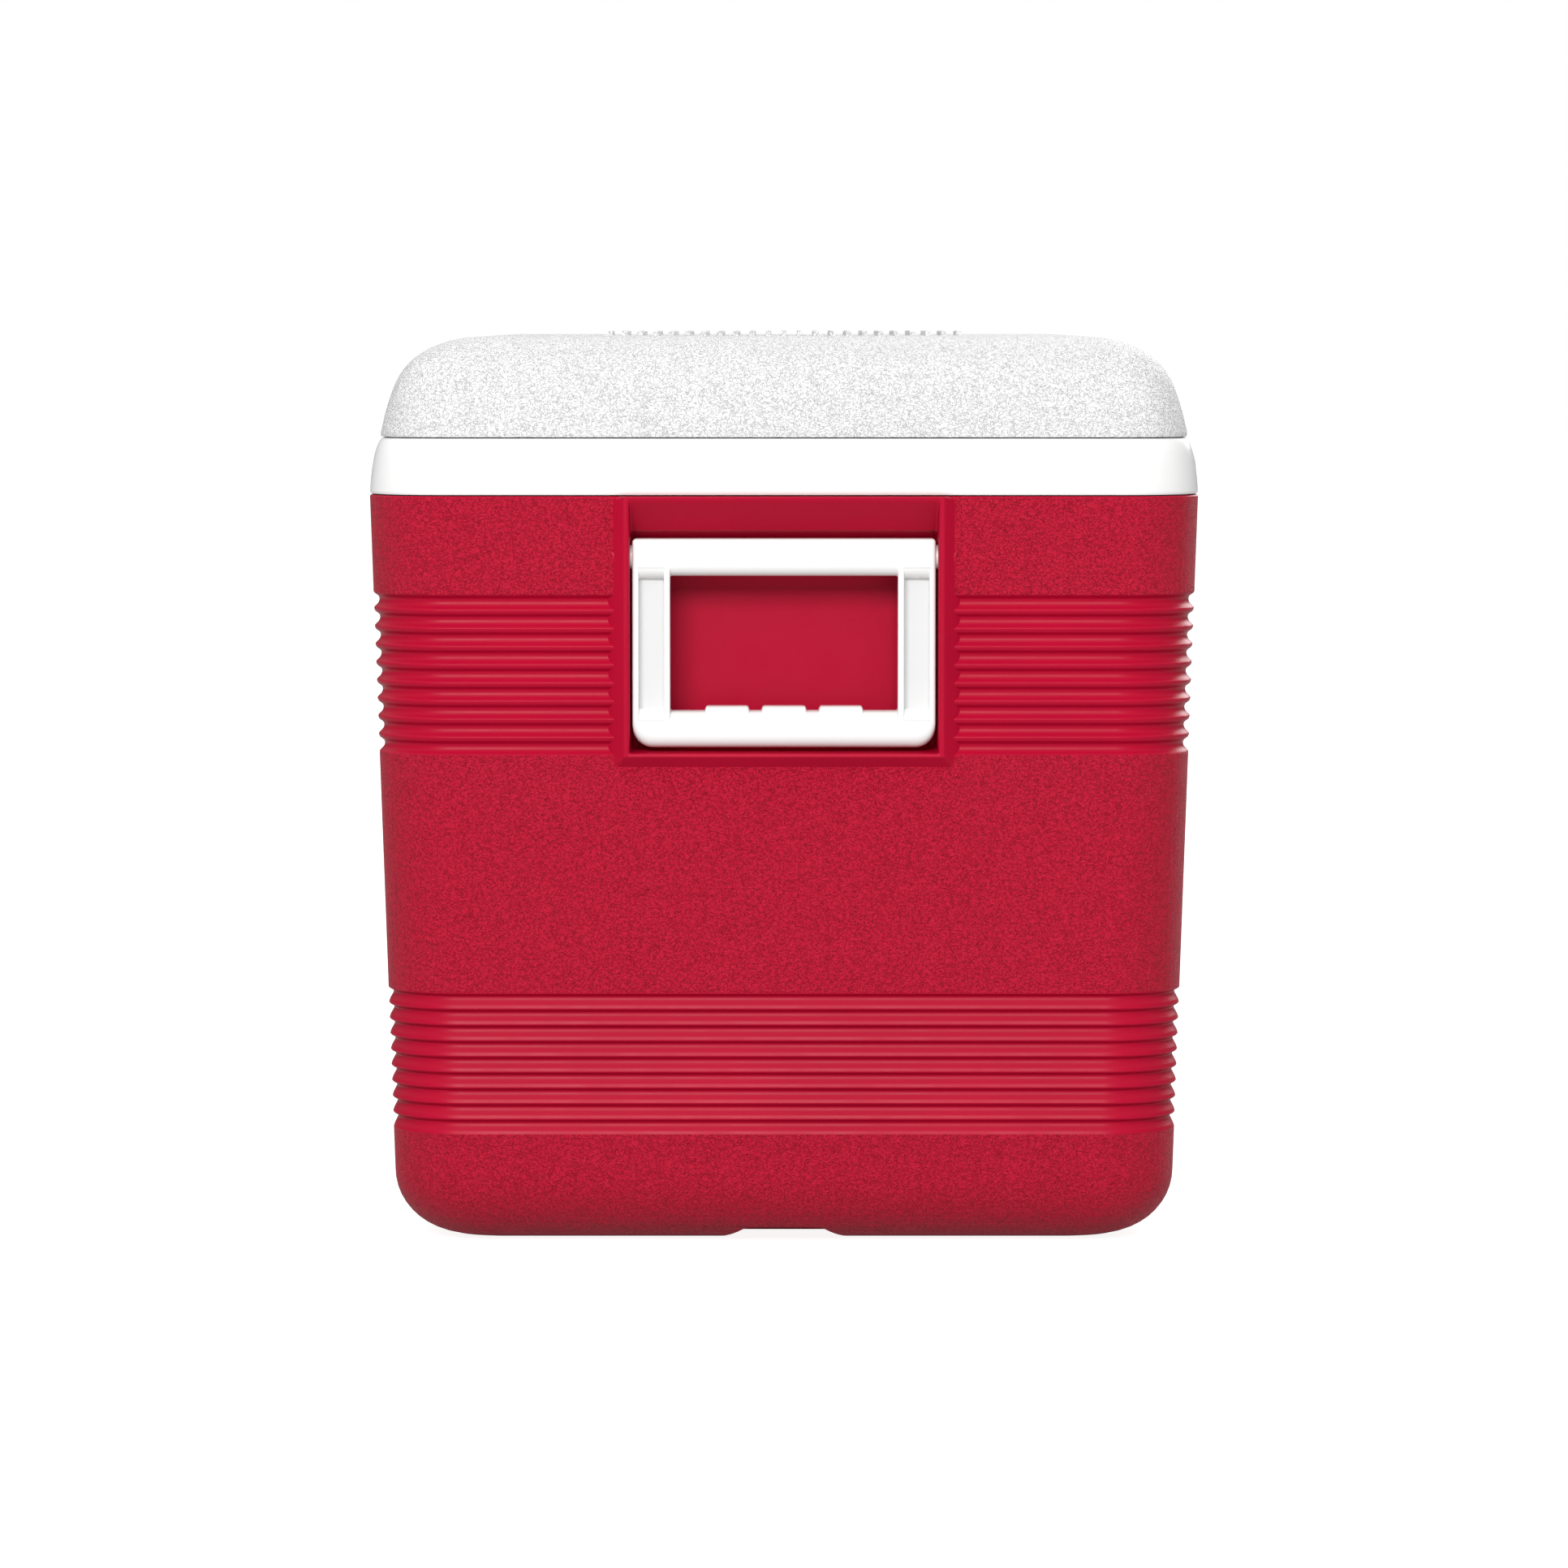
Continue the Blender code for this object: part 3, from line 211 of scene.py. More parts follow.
# ---- finish numbers of the pieces that have two ---------------------------------------
GRAINED, PLAIN = 0, 1     # tub and lid
OUTSIDE, CHANNEL_PAINTED_SHADE = 0, 1   # handles; the second is a darker white, painted shade on the channel webs


# ---- shapes ---------------------------------------------------------------------------
def ring(half_x, half_y, radius, z):
    """Points of a rounded rectangle at height z, anticlockwise from above."""
    points = []
    for quarter in range(4):
        side_x = 1 if quarter in (0, 3) else -1
        side_y = 1 if quarter in (0, 1) else -1
        for step in range(CORNER_STEPS + 1):
            angle = (quarter + step / CORNER_STEPS) * pi / 2
            x = side_x * (half_x - radius) + radius * cos(angle)
            y = side_y * (half_y - radius) + radius * sin(angle)
            points.append(Vector((x, y, z)))
    return points


def loft(bm, rings, finishes=None):
    """Skin rings of equal point count, close both ends, and give each band its finish."""
    rows = [[bm.verts.new(point) for point in points] for points in rings]
    for number, (below, above) in enumerate(zip(rows, rows[1:])):
        for i in range(len(below)):
            j = (i + 1) % len(below)
            face = bm.faces.new((below[i], below[j], above[j], above[i]))
            if finishes:
                face.material_index = finishes[number]
    bm.faces.new(reversed(rows[0]))
    bm.faces.new(rows[-1])


def add_box(bm, low, high):
    size = [h - l for l, h in zip(low, high)]
    middle = [(h + l) / 2 for l, h in zip(low, high)]
    matrix = Matrix.Translation(middle) @ Matrix.Diagonal((*size, 1))
    bmesh.ops.create_cube(bm, size=1, matrix=matrix)


def add_bar(bm, outline, low_x, high_x):
    """An outline of (y, z) points drawn out along X."""
    ends = [[bm.verts.new((x, y, z)) for y, z in outline] for x in (low_x, high_x)]
    count = len(outline)
    for i in range(count):
        j = (i + 1) % count
        bm.faces.new((ends[0][i], ends[0][j], ends[1][j], ends[1][i]))
    bm.faces.new(ends[0])
    bm.faces.new(reversed(ends[1]))


def add_turned(bm, profile, centre, axis, sides=ROUND_SIDES):
    """Turn (along, radius) points about an axis through centre."""
    along = {"X": Vector((1, 0, 0)), "Y": Vector((0, 1, 0))}[axis]
    across = {"X": Vector((0, 1, 0)), "Y": Vector((1, 0, 0))}[axis]
    rows = []
    for distance, radius in profile:
        row = []
        for i in range(sides):
            angle = (i + 0.5) * 2 * pi / sides
            spoke = across * cos(angle) + Vector((0, 0, 1)) * sin(angle)
            row.append(bm.verts.new(Vector(centre) + along * distance + spoke * radius))
        rows.append(row)
    bm.faces.new(reversed(rows[0]))
    bm.faces.new(rows[-1])
    for first, second in zip(rows, rows[1:]):
        for i in range(sides):
            j = (i + 1) % sides
            bm.faces.new((first[i], first[j], second[j], second[i]))


def both_ends(build):
    """Build a shape at the +X end and again, turned half a turn, at the -X end."""
    def built(bm):
        build(bm)
        copy = bmesh.ops.duplicate(bm, geom=bm.verts[:] + bm.edges[:] + bm.faces[:])
        moved = [item for item in copy["geom"] if isinstance(item, bmesh.types.BMVert)]
        bmesh.ops.rotate(bm, verts=moved, cent=(0, 0, 0), matrix=Matrix.Rotation(pi, 3, "Z"))
    return built


def rounded(points, radius, steps=4):
    """Round the inner corners of an open outline of pairs."""
    made = [points[0]]
    for before, here, after in zip(points, points[1:], points[2:]):
        to_before = Vector((before[0] - here[0], before[1] - here[1]))
        to_after = Vector((after[0] - here[0], after[1] - here[1]))
        reach = min(radius, to_before.length * 0.45, to_after.length * 0.45)
        start = Vector(here) + to_before.normalized() * reach
        end = Vector(here) + to_after.normalized() * reach
        for step in range(steps + 1):
            share = step / steps
            point = (start * (1 - share) ** 2 + Vector(here) * 2 * share * (1 - share)
                     + end * share ** 2)
            made.append(tuple(point))
    made.append(points[-1])
    return made


def smooth_through(points, steps=4):
    """A smooth line through pairs."""
    made = []
    for i in range(len(points) - 1):
        p0, p1, p2, p3 = (Vector(points[min(max(i + k, 0), len(points) - 1)])
                          for k in (-1, 0, 1, 2))
        for step in range(steps):
            t = step / steps
            point = 0.5 * (2 * p1 + (p2 - p0) * t + (2 * p0 - 5 * p1 + 4 * p2 - p3) * t ** 2
                           + (3 * p1 - p0 - 3 * p2 + p3) * t ** 3)
            made.append(tuple(point))
    made.append(points[-1])
    return made


def rectangle_points(half, low, high, steps, low_radius, top_radius):
    """(y, z) points of a rectangle with rounded corners, from -half to half and low to high."""
    for quarter, (side, top) in enumerate(((1, 1), (-1, 1), (-1, 0), (1, 0))):
        radius = top_radius if top else low_radius
        for step in range(steps + 1):
            angle = (quarter + step / steps) * pi / 2
            y = side * (half - radius) + radius * cos(angle)
            z = (high - radius if top else low + radius) + radius * sin(angle)
            yield y, z


def offset_outline(points, distance):
    """Move an open outline to its left by distance, keeping its corners sharp."""
    moved = []
    for i, (x, z) in enumerate(points):
        before = points[max(i - 1, 0)]
        after = points[min(i + 1, len(points) - 1)]
        first = Vector((x - before[0], z - before[1]))
        second = Vector((after[0] - x, after[1] - z))
        if first.length == 0:
            first = second
        if second.length == 0:
            second = first
        normals = [Vector((-v.y, v.x)).normalized() for v in (first, second)]
        bisector = (normals[0] + normals[1]).normalized()
        reach = distance / bisector.dot(normals[0])
        moved.append((x + bisector.x * reach, z + bisector.y * reach))
    return moved


# ---- materials ------------------------------------------------------------------------
def srgb(*levels):
    """Linear colour from 0 to 255 levels."""
    shares = [level / 255 for level in levels]
    return tuple(s / 12.92 if s <= 0.04045 else ((s + 0.055) / 1.055) ** 2.4 for s in shares)


class Finish:
    """A node material with procedural colour, roughness and relief."""

    def __init__(self, name, roughness, metallic=0.0, specular=0.5):
        self.material = bpy.data.materials.new(name)
        self.material.use_nodes = True
        self.tree = self.material.node_tree
        self.shader = self.tree.nodes["Principled BSDF"]
        self.shader.inputs["Roughness"].default_value = roughness
        self.shader.inputs["Metallic"].default_value = metallic
        self.shader.inputs["Specular IOR Level"].default_value = specular
        self.coords = self.node("ShaderNodeTexCoord").outputs["Object"]

    def node(self, kind, settings=None, **sockets):
        """A node with its sockets set or linked: by number as _0, by name as From_Min."""
        made = self.tree.nodes.new(kind)
        for key, value in (settings or {}).items():
            setattr(made, key, value)
        for key, value in sockets.items():
            socket = made.inputs[int(key[1:]) if key[0] == "_" else key.replace("_", " ")]
            if isinstance(value, bpy.types.NodeSocket):
                self.tree.links.new(value, socket)
            else:
                socket.default_value = value
        return made

    def noise(self, scale, detail=2.0, roughness=0.5, vector=None, distortion=0.0):
        return self.node("ShaderNodeTexNoise", Vector=vector or self.coords, Scale=scale,
                         Detail=detail, Roughness=roughness, Distortion=distortion).outputs["Fac"]

    def math(self, operation, first, second=0.0):
        return self.node("ShaderNodeMath", {"operation": operation}, _0=first, _1=second).outputs[0]

    def mix(self, share, first, second):
        return self.node("ShaderNodeMix", {"data_type": "RGBA"},
                         _0=share, _6=first, _7=second).outputs[2]

    def span(self, value, low, high, to_low=0.0, to_high=1.0):
        return self.node("ShaderNodeMapRange", {"interpolation_type": "SMOOTHSTEP"}, Value=value,
                         From_Min=low, From_Max=high, To_Min=to_low, To_Max=to_high).outputs[0]

    def link(self, output, socket):
        self.tree.links.new(output, self.shader.inputs[socket])

    def relief(self, height, depth):
        bump = self.node("ShaderNodeBump", Height=height, Distance=depth, Strength=1.0)
        self.link(bump.outputs[0], "Normal")


def grained(name, light, dark, roughness, specular, cell, depth):
    """Moulded plastic with a leather grain: small lumps between thin wandering creases."""
    finish = Finish(name, roughness, specular=specular)
    slanted = finish.node("ShaderNodeMapping", Vector=finish.coords, Rotation=(0.5, 0.4, 0.0),
                          Scale=(1.0, 0.9, 1.15)).outputs[0]
    lumps = finish.noise(1 / cell, 4.0, 0.6, slanted, 0.3)
    off_middle = finish.math("ABSOLUTE", finish.math("SUBTRACT", lumps, 0.5))
    crease = finish.span(off_middle, 0.0, 0.03)
    fine = finish.noise(2.6 / cell, 3.0, 0.6, slanted)
    height = finish.math("ADD", finish.math("MULTIPLY", crease, 0.3),
                         finish.math("ADD", lumps, fine))
    finish.relief(height, depth)
    tone = finish.math("ADD", finish.math("MULTIPLY", crease, 0.25), fine)
    finish.link(finish.mix(finish.span(tone, 0.3, 0.95), (*dark, 1), (*light, 1)), "Base Color")
    finish.link(finish.span(fine, 0.3, 0.7, roughness + 0.06, roughness - 0.06), "Roughness")
    return finish.material


def moulded(name, colour, roughness, tint=0.03, metallic=0.0, specular=0.5):
    """Smooth moulded plastic, rubber or metal with faint mottling and an uneven polish."""
    finish = Finish(name, roughness, metallic, specular)
    patches = finish.noise(14.0, 3.0)
    darker = tuple(channel * (1 - tint * 2) for channel in colour)
    finish.link(finish.mix(finish.span(patches, 0.3, 0.7), (*darker, 1), (*colour, 1)), "Base Color")
    polish = finish.noise(60.0, 4.0)
    finish.link(finish.span(polish, 0.3, 0.7, roughness * 0.9, roughness * 1.1), "Roughness")
    finish.relief(finish.noise(30.0, 1.0), 0.00001)
    return finish.material


# ---- pieces ---------------------------------------------------------------------------
def mesh_of(name, build, finishes):
    bm = bmesh.new()
    build(bm)
    bmesh.ops.recalc_face_normals(bm, faces=bm.faces[:])
    mesh = bpy.data.meshes.new(name)
    bm.to_mesh(mesh)
    bm.free()
    for finish in finishes:
        mesh.materials.append(finish)
    return mesh


def settle(thing):
    """Put what the modifiers make into the mesh itself."""
    depsgraph = bpy.context.evaluated_depsgraph_get()
    mesh = bpy.data.meshes.new_from_object(thing.evaluated_get(depsgraph), depsgraph=depsgraph)
    thing.modifiers.clear()
    thing.data = mesh


def make(name, build, finishes, steps=()):
    """A piece from build(bm), then each (operation, build, finish number) joined to or cut from it."""
    thing = bpy.data.objects.new(name, mesh_of(name, build, finishes))
    bpy.context.scene.collection.objects.link(thing)
    for operation, tool_build, number in steps:
        tool = bpy.data.objects.new(name + "_tool", mesh_of(name + "_tool", tool_build, finishes))
        for face in tool.data.polygons:
            face.material_index = number
        bpy.context.scene.collection.objects.link(tool)
        modifier = thing.modifiers.new("shape", "BOOLEAN")
        modifier.operation = operation
        modifier.solver = "EXACT"
        modifier.object = tool
        settle(thing)
        bpy.data.objects.remove(tool)
    return thing


def soften(thing, angle=SHARP):
    """Smooth shading that keeps flat faces flat."""
    thing.data.shade_smooth()
    thing.data.set_sharp_from_angle(angle=angle)
    modifier = thing.modifiers.new("flat faces", "WEIGHTED_NORMAL")
    modifier.keep_sharp = True
    modifier.weight = 50


def bevel(thing, width, segments):
    modifier = thing.modifiers.new("rounded edges", "BEVEL")
    modifier.width = width
    modifier.segments = segments
    modifier.limit_method = "ANGLE"
    modifier.angle_limit = BEVEL_OVER
    modifier.harden_normals = False


def stands_for(thing, body, slot, *nodes):
    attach(thing, body)
    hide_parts(*nodes)


# ---- outer tub ------------------------------------------------------------------------
def shell_inset(z):
    return DRAFT * (SHELL_TOP - z)


def shell_ring(z, inset):
    total = shell_inset(z) + inset
    return ring(HALF_X - total, HALF_Y - total, CORNER - inset, z)


def foot_rings(wall):
    side_inset = shell_inset(FOOT_HEIGHT)
    rings = []
    for step in range(FOOT_STEPS + 1):
        angle = step * pi / 2 / FOOT_STEPS
        end_inset, inset = (side_inset + wall + (width - wall) * (1 - sin(angle))
                            for width in (FOOT_END_WIDTH, FOOT_WIDTH))
        z = wall + (FOOT_HEIGHT - wall) * (1 - cos(angle))
        radius = FOOT_CORNER + (CORNER - wall - FOOT_CORNER) * sin(angle)
        rings.append(ring(HALF_X - end_inset, HALF_Y - inset, radius, z))
    return rings


def side_profile():
    """(inset, height) points of the tub's side from the foot to the rim."""
    teeth = [(0, FOOT_HEIGHT + 0.004), (0, LOWER_BAND_TOP - GROOVES * LOWER_PITCH - 0.0012)]
    for i in reversed(range(GROOVES)):
        top = LOWER_BAND_TOP - i * LOWER_PITCH
        teeth += [(share * LOWER_DEPTH, top - down) for share, down in TOOTH]
    teeth += [(0, LOWER_BAND_TOP + 0.0004), (0, LOWER_BAND_TOP + 0.0030)]
    waves = [(0, UPPER_BAND_TOP - (GROOVES - 1) * UPPER_PITCH - 0.0090)]
    for i in reversed(range(GROOVES)):
        top = UPPER_BAND_TOP - i * UPPER_PITCH
        waves += [(share * UPPER_DEPTH, top - down) for share, down in WAVE]
    waves += [(0, UPPER_BAND_TOP + 0.0008), (0, UPPER_BAND_TOP + 0.0030)]
    return smooth_through(teeth, 2) + smooth_through(waves, 3) + [(0, SHELL_TOP - 0.0006)]


def build_tub(bm):
    foot = foot_rings(0.0)
    profile = side_profile()
    rings = foot + [shell_ring(z, inset) for inset, z in profile]
    heights = [points[0].z for points in rings]
    lower = (LOWER_BAND_TOP - GROOVES * LOWER_PITCH - 0.0002, LOWER_BAND_TOP + 0.0002)
    upper = (UPPER_BAND_TOP - (GROOVES - 1) * UPPER_PITCH - 0.0065, UPPER_BAND_TOP + 0.0002)
    rings += [shell_ring(SHELL_TOP, 0.0006), shell_ring(SHELL_TOP, WALL)]
    rings += reversed(foot_rings(WALL))
    finishes = []
    for i in range(len(rings) - 1):
        middle = (heights[i] + heights[i + 1]) / 2 if i + 1 < len(heights) else None
        banded = middle is not None and any(low < middle < high for low, high in (lower, upper))
        finishes.append(PLAIN if middle is None or banded else GRAINED)
    loft(bm, rings, finishes)


def end_section(depth, half, low, high, radius, lean=1.0, steps=3):
    """A rounded rectangle across the +X end at a depth behind the frame's sloping face."""
    return [Vector((LENGTH / 2 - depth - lean * DRAFT * (OPENING_TOP - z), y, z))
            for y, z in rectangle_points(half, low, high, steps, radius, radius)]


def build_frame(bm):
    """Raised frame round the recess, with a small round and chamfered sides and foot."""
    half = OPENING_HALF + LIP
    low = OPENING_BOTTOM - LIP_BELOW
    deepest = FRAME_RAISE + UPPER_DEPTH + 0.0005
    sections = []
    for depth, grow in ((0.0, -0.0006), (0.00015, -0.00015), (0.0005, 0.0003), (deepest, deepest)):
        radius = 0.0004 + max(grow, 0) * 0.5
        sections.append(end_section(depth, half + grow, low - grow, FRAME_TOP, radius))
    loft(bm, sections)


def recess_roof():
    """(depth, height) points of the recess's ceiling, seat and knee."""
    points = [(0.0, OPENING_TOP), SLOPE_END]
    for step in range(1, SEAT_STEPS + 1):
        angle = SEAT_ANGLE * (1 - step / SEAT_STEPS)
        points.append((AXIS_DEPTH + SEAT_RADIUS * cos(angle),
                       HANDLE_AXIS_Z + SEAT_RADIUS * sin(angle)))
    points.append((RECESS_DEPTH - BACK_ROUND, HANDLE_AXIS_Z - KNEE_DROP))
    return points


def recess_floor(depth):
    return OPENING_BOTTOM + FLOOR_RISE * min(max(depth / RECESS_DEPTH, 0.0), 1.0)


def lean_at(depth):
    """How far a section follows the frame's sloping face: 1 at the mouth, 0 upright."""
    return 1.0 - min(max((depth - LEAN_START) / LEAN_LENGTH, 0.0), 1.0)


def build_recess_cut(bm):
    """The recess's hollow: a flared mouth, the sloping roof, and rounds at the back."""
    before_face = -0.006
    mouth_corner = 0.0008
    sections = [end_section(before_face, OPENING_HALF + MOUTH_FLARE, OPENING_BOTTOM - MOUTH_FLARE,
                            OPENING_TOP + MOUTH_FLARE, mouth_corner)]
    for step in range(7):
        angle = step / 6 * pi / 2
        depth = MOUTH_FLARE * (1 - cos(angle))
        flare = MOUTH_FLARE * (1 - sin(angle))
        sections.append(end_section(depth, OPENING_HALF + flare, OPENING_BOTTOM - flare,
                                    OPENING_TOP + flare - depth, mouth_corner))
    for depth, height in rounded(recess_roof(), 0.002, 3)[1:]:
        if depth > MOUTH_FLARE * 1.5:
            half = OPENING_HALF - SIDE_DRAFT * depth
            sections.append(end_section(depth, half, recess_floor(depth), height, RECESS_CORNER,
                                        lean_at(depth)))
    half = OPENING_HALF - SIDE_DRAFT * RECESS_DEPTH
    top = HANDLE_AXIS_Z - KNEE_DROP
    for step in range(1, 5):
        angle = step / 4 * pi / 2
        shrink = BACK_FILLET * (1 - cos(angle))
        depth = RECESS_DEPTH - BACK_ROUND + BACK_ROUND * sin(angle)
        sections.append(end_section(depth, half - shrink, recess_floor(depth) + shrink,
                                    top - shrink, RECESS_CORNER, 0.0))
    loft(bm, sections)


def build_recess_block(bm):
    """The recess's walls as a solid block behind the frame."""
    roof = offset_outline(recess_roof(), RECESS_WALL)
    (first, top), (second, under) = roof[:2]
    share = (top - BLOCK_TOP) / (top - under)
    roof[0] = (first + (second - first) * share, BLOCK_TOP)
    roof.append((RECESS_DEPTH + RECESS_WALL - 0.0002, roof[-1][1] - 0.004))
    sections = []
    for depth, height in roof:
        half = OPENING_HALF - SIDE_DRAFT * depth + RECESS_WALL
        sections.append(end_section(depth, half, OPENING_BOTTOM - RECESS_WALL + 0.0003, height, 0.0015,
                                    lean_at(depth - 0.003)))
    loft(bm, sections)


def across_ends(low, high, radius):
    """A bar along Y on the +X handle's axis, on both sides of the middle."""
    def build(bm):
        for side in (-1, 1):
            ends = ((side * low, radius), (side * high, radius))
            add_turned(bm, ends, (HANDLE_AXIS_X, 0, HANDLE_AXIS_Z), "Y", 32)
    return build


def build_notch_pad(bm):
    half = NOTCH_BOTTOM_HALF + PAD_THICKNESS
    add_box(bm, (NOTCH_INNER_END - PAD_THICKNESS, -half, PAD_BOTTOM),
            (PAD_OUTER_END, half, NOTCH_HEIGHT + PAD_THICKNESS))


def build_notch(bm):
    """A shallow hand notch under the end, with S-shaped sides."""
    side = [(NOTCH_BOTTOM_HALF + 0.002, -0.0005), (NOTCH_BOTTOM_HALF, 0.0),
            (NOTCH_MIDDLE_HALF, NOTCH_HEIGHT * 0.45), (NOTCH_TOP_HALF, NOTCH_HEIGHT),
            (0.0, NOTCH_HEIGHT)]
    side = rounded(side, 0.0022, 4)
    outline = [(-y, z) for y, z in side] + [(y, z) for y, z in reversed(side[:-1])]
    outline += [(NOTCH_BOTTOM_HALF + 0.002, -0.003), (-NOTCH_BOTTOM_HALF - 0.002, -0.003)]
    add_bar(bm, outline, NOTCH_INNER_END, LENGTH / 2 + 0.01)


def drain_cylinder(radius, low_x, high_x):
    def build(bm):
        add_turned(bm, ((low_x, radius), (high_x, radius)), (0, 0, DRAIN_Z), "X")
    return build


# ---- liner ----------------------------------------------------------------------------
def cavity_ring(z, outwards=0.0):
    draw = CAVITY_DRAFT * (COLLAR_TOP - z)
    return ring(CAVITY_X - draw + outwards, CAVITY_Y - draw + outwards, CAVITY_CORNER + outwards, z)


def cavity_floor_rings(outwards):
    reach = CAVITY_FILLET + outwards
    rings = []
    for step in range(9):
        angle = step * pi / 16
        inset = CAVITY_DRAFT * (COLLAR_TOP - CAVITY_FLOOR) + CAVITY_FILLET - reach * sin(angle)
        z = CAVITY_FLOOR + CAVITY_FILLET - reach * cos(angle)
        rings.append(ring(CAVITY_X - inset, CAVITY_Y - inset, CAVITY_CORNER - inset, z))
    return rings


def side_ring(inset, z):
    return ring(HALF_X - inset, HALF_Y - inset, max(CORNER - inset, 0.014), z)


def side_at(profile, z):
    for (inset_a, z_a), (inset_b, z_b) in zip(profile, profile[1:]):
        if z_a <= z <= z_b:
            return HALF_Y - inset_a - (inset_b - inset_a) * (z - z_a) / (z_b - z_a)
    return HALF_Y


def tongue_inset(z):
    return WALL + GAP + shell_inset(z)


def build_liner(bm):
    flange_under = COLLAR_TOP - COLLAR_WALL
    collar_inner = COLLAR[-2][0] + COLLAR_WALL
    tongue_out = tongue_inset(TONGUE_BOTTOM)
    rings = cavity_floor_rings(LINER_WALL)
    rings.append(cavity_ring(flange_under, LINER_WALL))
    rings.append(side_ring(collar_inner, flange_under))
    rings.append(side_ring(tongue_out + TONGUE_WALL, TONGUE_BOTTOM))
    rings.append(side_ring(tongue_out, TONGUE_BOTTOM))
    rings.append(side_ring(tongue_out, COLLAR[0][1]))
    side = smooth_through(COLLAR[1:], 3)
    rings += [side_ring(inset, z) for inset, z in [COLLAR[0], *side[:-1]]]
    rings.append(side_ring(COLLAR[-1][0] + 0.0008, COLLAR_TOP))
    for step in range(6):
        angle = step / 5 * pi / 2
        round_out = MOUTH_ROUND * (1 - sin(angle))
        rings.append(cavity_ring(COLLAR_TOP - MOUTH_ROUND * (1 - cos(angle)), round_out))
    rings += reversed(cavity_floor_rings(0.0))
    loft(bm, rings)


def build_tongue_gaps(bm):
    half = OPENING_HALF + LIP + 0.006
    add_box(bm, (HALF_X - 0.012, -half, TONGUE_BOTTOM - 0.002),
            (HALF_X + 0.01, half, COLLAR[0][1] - 0.0001))


def blocks(corners):
    def build(bm):
        (low_y, low_z), (high_y, high_z) = corners
        for hinge in (-HINGE_X, HINGE_X):
            add_box(bm, (hinge - BLOCK_HALF, low_y, low_z), (hinge + BLOCK_HALF, high_y, high_z))
    return build


def screw_holes(seat, z):
    def build(bm):
        for hinge in (-HINGE_X, HINGE_X):
            for offset in (-SCREW_SPREAD, SCREW_SPREAD):
                radius = SCREW_RADIUS + GAP
                ends = ((seat - SCREW_LENGTH - GAP, radius), (seat + 0.004, radius))
                add_turned(bm, ends, (hinge + offset, 0, z), "Y", 16)
    return build


# ---- lid ------------------------------------------------------------------------------
def lid_rings(wall, start):
    rings = [side_ring(HALF_Y - side_at(LID_SIDE, start) + wall, start)]
    profile = smooth_through(offset_outline(LID_SIDE, -wall)[1:], 3)
    return rings + [side_ring(inset, z) for inset, z in profile if z > start]


def build_lid(bm):
    loft(bm, list(reversed(lid_rings(0.0, LID_BOTTOM))) + lid_rings(LID_WALL, LID_BOTTOM))


def build_rib_pad(bm):
    """Straight half-round ribs along X, trimmed to a round outline."""
    for i in range(RIBS):
        middle = (i - (RIBS - 1) / 2) * RIB_PITCH
        half = sqrt(RIB_PAD_RADIUS ** 2 - middle ** 2)
        shape = [(-RIB_WIDTH / 2, -0.001), (-RIB_WIDTH / 2, RIB_HEIGHT), (RIB_WIDTH / 2, RIB_HEIGHT),
                 (RIB_WIDTH / 2, -0.001)]
        outline = [(middle + y, LID_TOP + z) for y, z in rounded(shape, 0.0008, 3)]
        add_bar(bm, outline, -half, half)


def build_tab(bm):
    outside = smooth_through(TAB_OUTSIDE, 3)
    inside = smooth_through(TAB_INSIDE, 3)
    end = rounded([outside[-2], *TAB_TIP, inside[1]], 0.0007, 3)
    outline = [(-y, z) for y, z in outside[:-1] + end[1:-1] + inside[1:]]
    add_bar(bm, outline, -TAB_HALF, TAB_HALF)


def build_lid_pan(bm):
    rest = COLLAR_TOP + GAP
    side = LID_SIDE[0][0] + LID_WALL + GAP
    plug = -PLUG_CLEARANCE
    rings = [
        cavity_ring(PLUG_BOTTOM, plug - 0.0015),
        cavity_ring(PLUG_BOTTOM + 0.0004, plug - 0.0004),
        cavity_ring(PLUG_BOTTOM + 0.0015, plug),
        cavity_ring(rest, plug - CAVITY_DRAFT * 0.004),
        side_ring(side + 0.0006, rest),
        side_ring(side, rest + 0.0012),
        side_ring(side + 0.0004, UPSTAND_TOP),
        side_ring(side + PAN_WALL, UPSTAND_TOP),
        side_ring(side + PAN_WALL, rest + PAN_WALL),
        cavity_ring(rest + PAN_WALL, plug - PAN_WALL),
        cavity_ring(PLUG_BOTTOM + PAN_WALL, plug - PAN_WALL - 0.001),
    ]
    loft(bm, rings)


# ---- handles --------------------------------------------------------------------------
def across_section(x, half, low, high, radius, steps=4):
    """A rounded rectangle across the handle at x out from its axis."""
    return [Vector((x, y, z)) for y, z in rectangle_points(half, low, high, steps, radius, radius)]


def build_handle_block(bm):
    """The handle's outside: a flat loop with a rounded grip and softened edges."""
    sections = []
    edge = 0.0016
    for step in range(5):
        angle = step / 4 * pi / 2
        sections.append((-HANDLE_FRONT + edge * (1 - cos(angle)), edge * (1 - sin(angle)),
                         2.2 * edge * (1 - sin(angle))))
    grip = 0.0065
    for step in range(9):
        angle = step / 8 * pi / 2
        x = HANDLE_FRONT - grip * (1 - sin(angle))
        near = max(x - (HANDLE_FRONT - edge), 0.0)
        trim = edge - sqrt(max(edge ** 2 - near ** 2, 0.0))
        sections.append((x, trim, grip * (1 - cos(angle))))
    made = []
    for x, trim, under in sections:
        half = HANDLE_HALF - trim
        low = HANDLE_BOTTOM + under
        made.append(handle_section(x, half, low, HANDLE_TOP - trim))
    loft(bm, made)


def handle_section(x, half, low, high):
    """A loop section with round lower corners and small upper ones."""
    points = rectangle_points(half, low, high, 8, HANDLE_CORNER, HANDLE_TOP_CORNER)
    return [Vector((x, y, z)) for y, z in points]


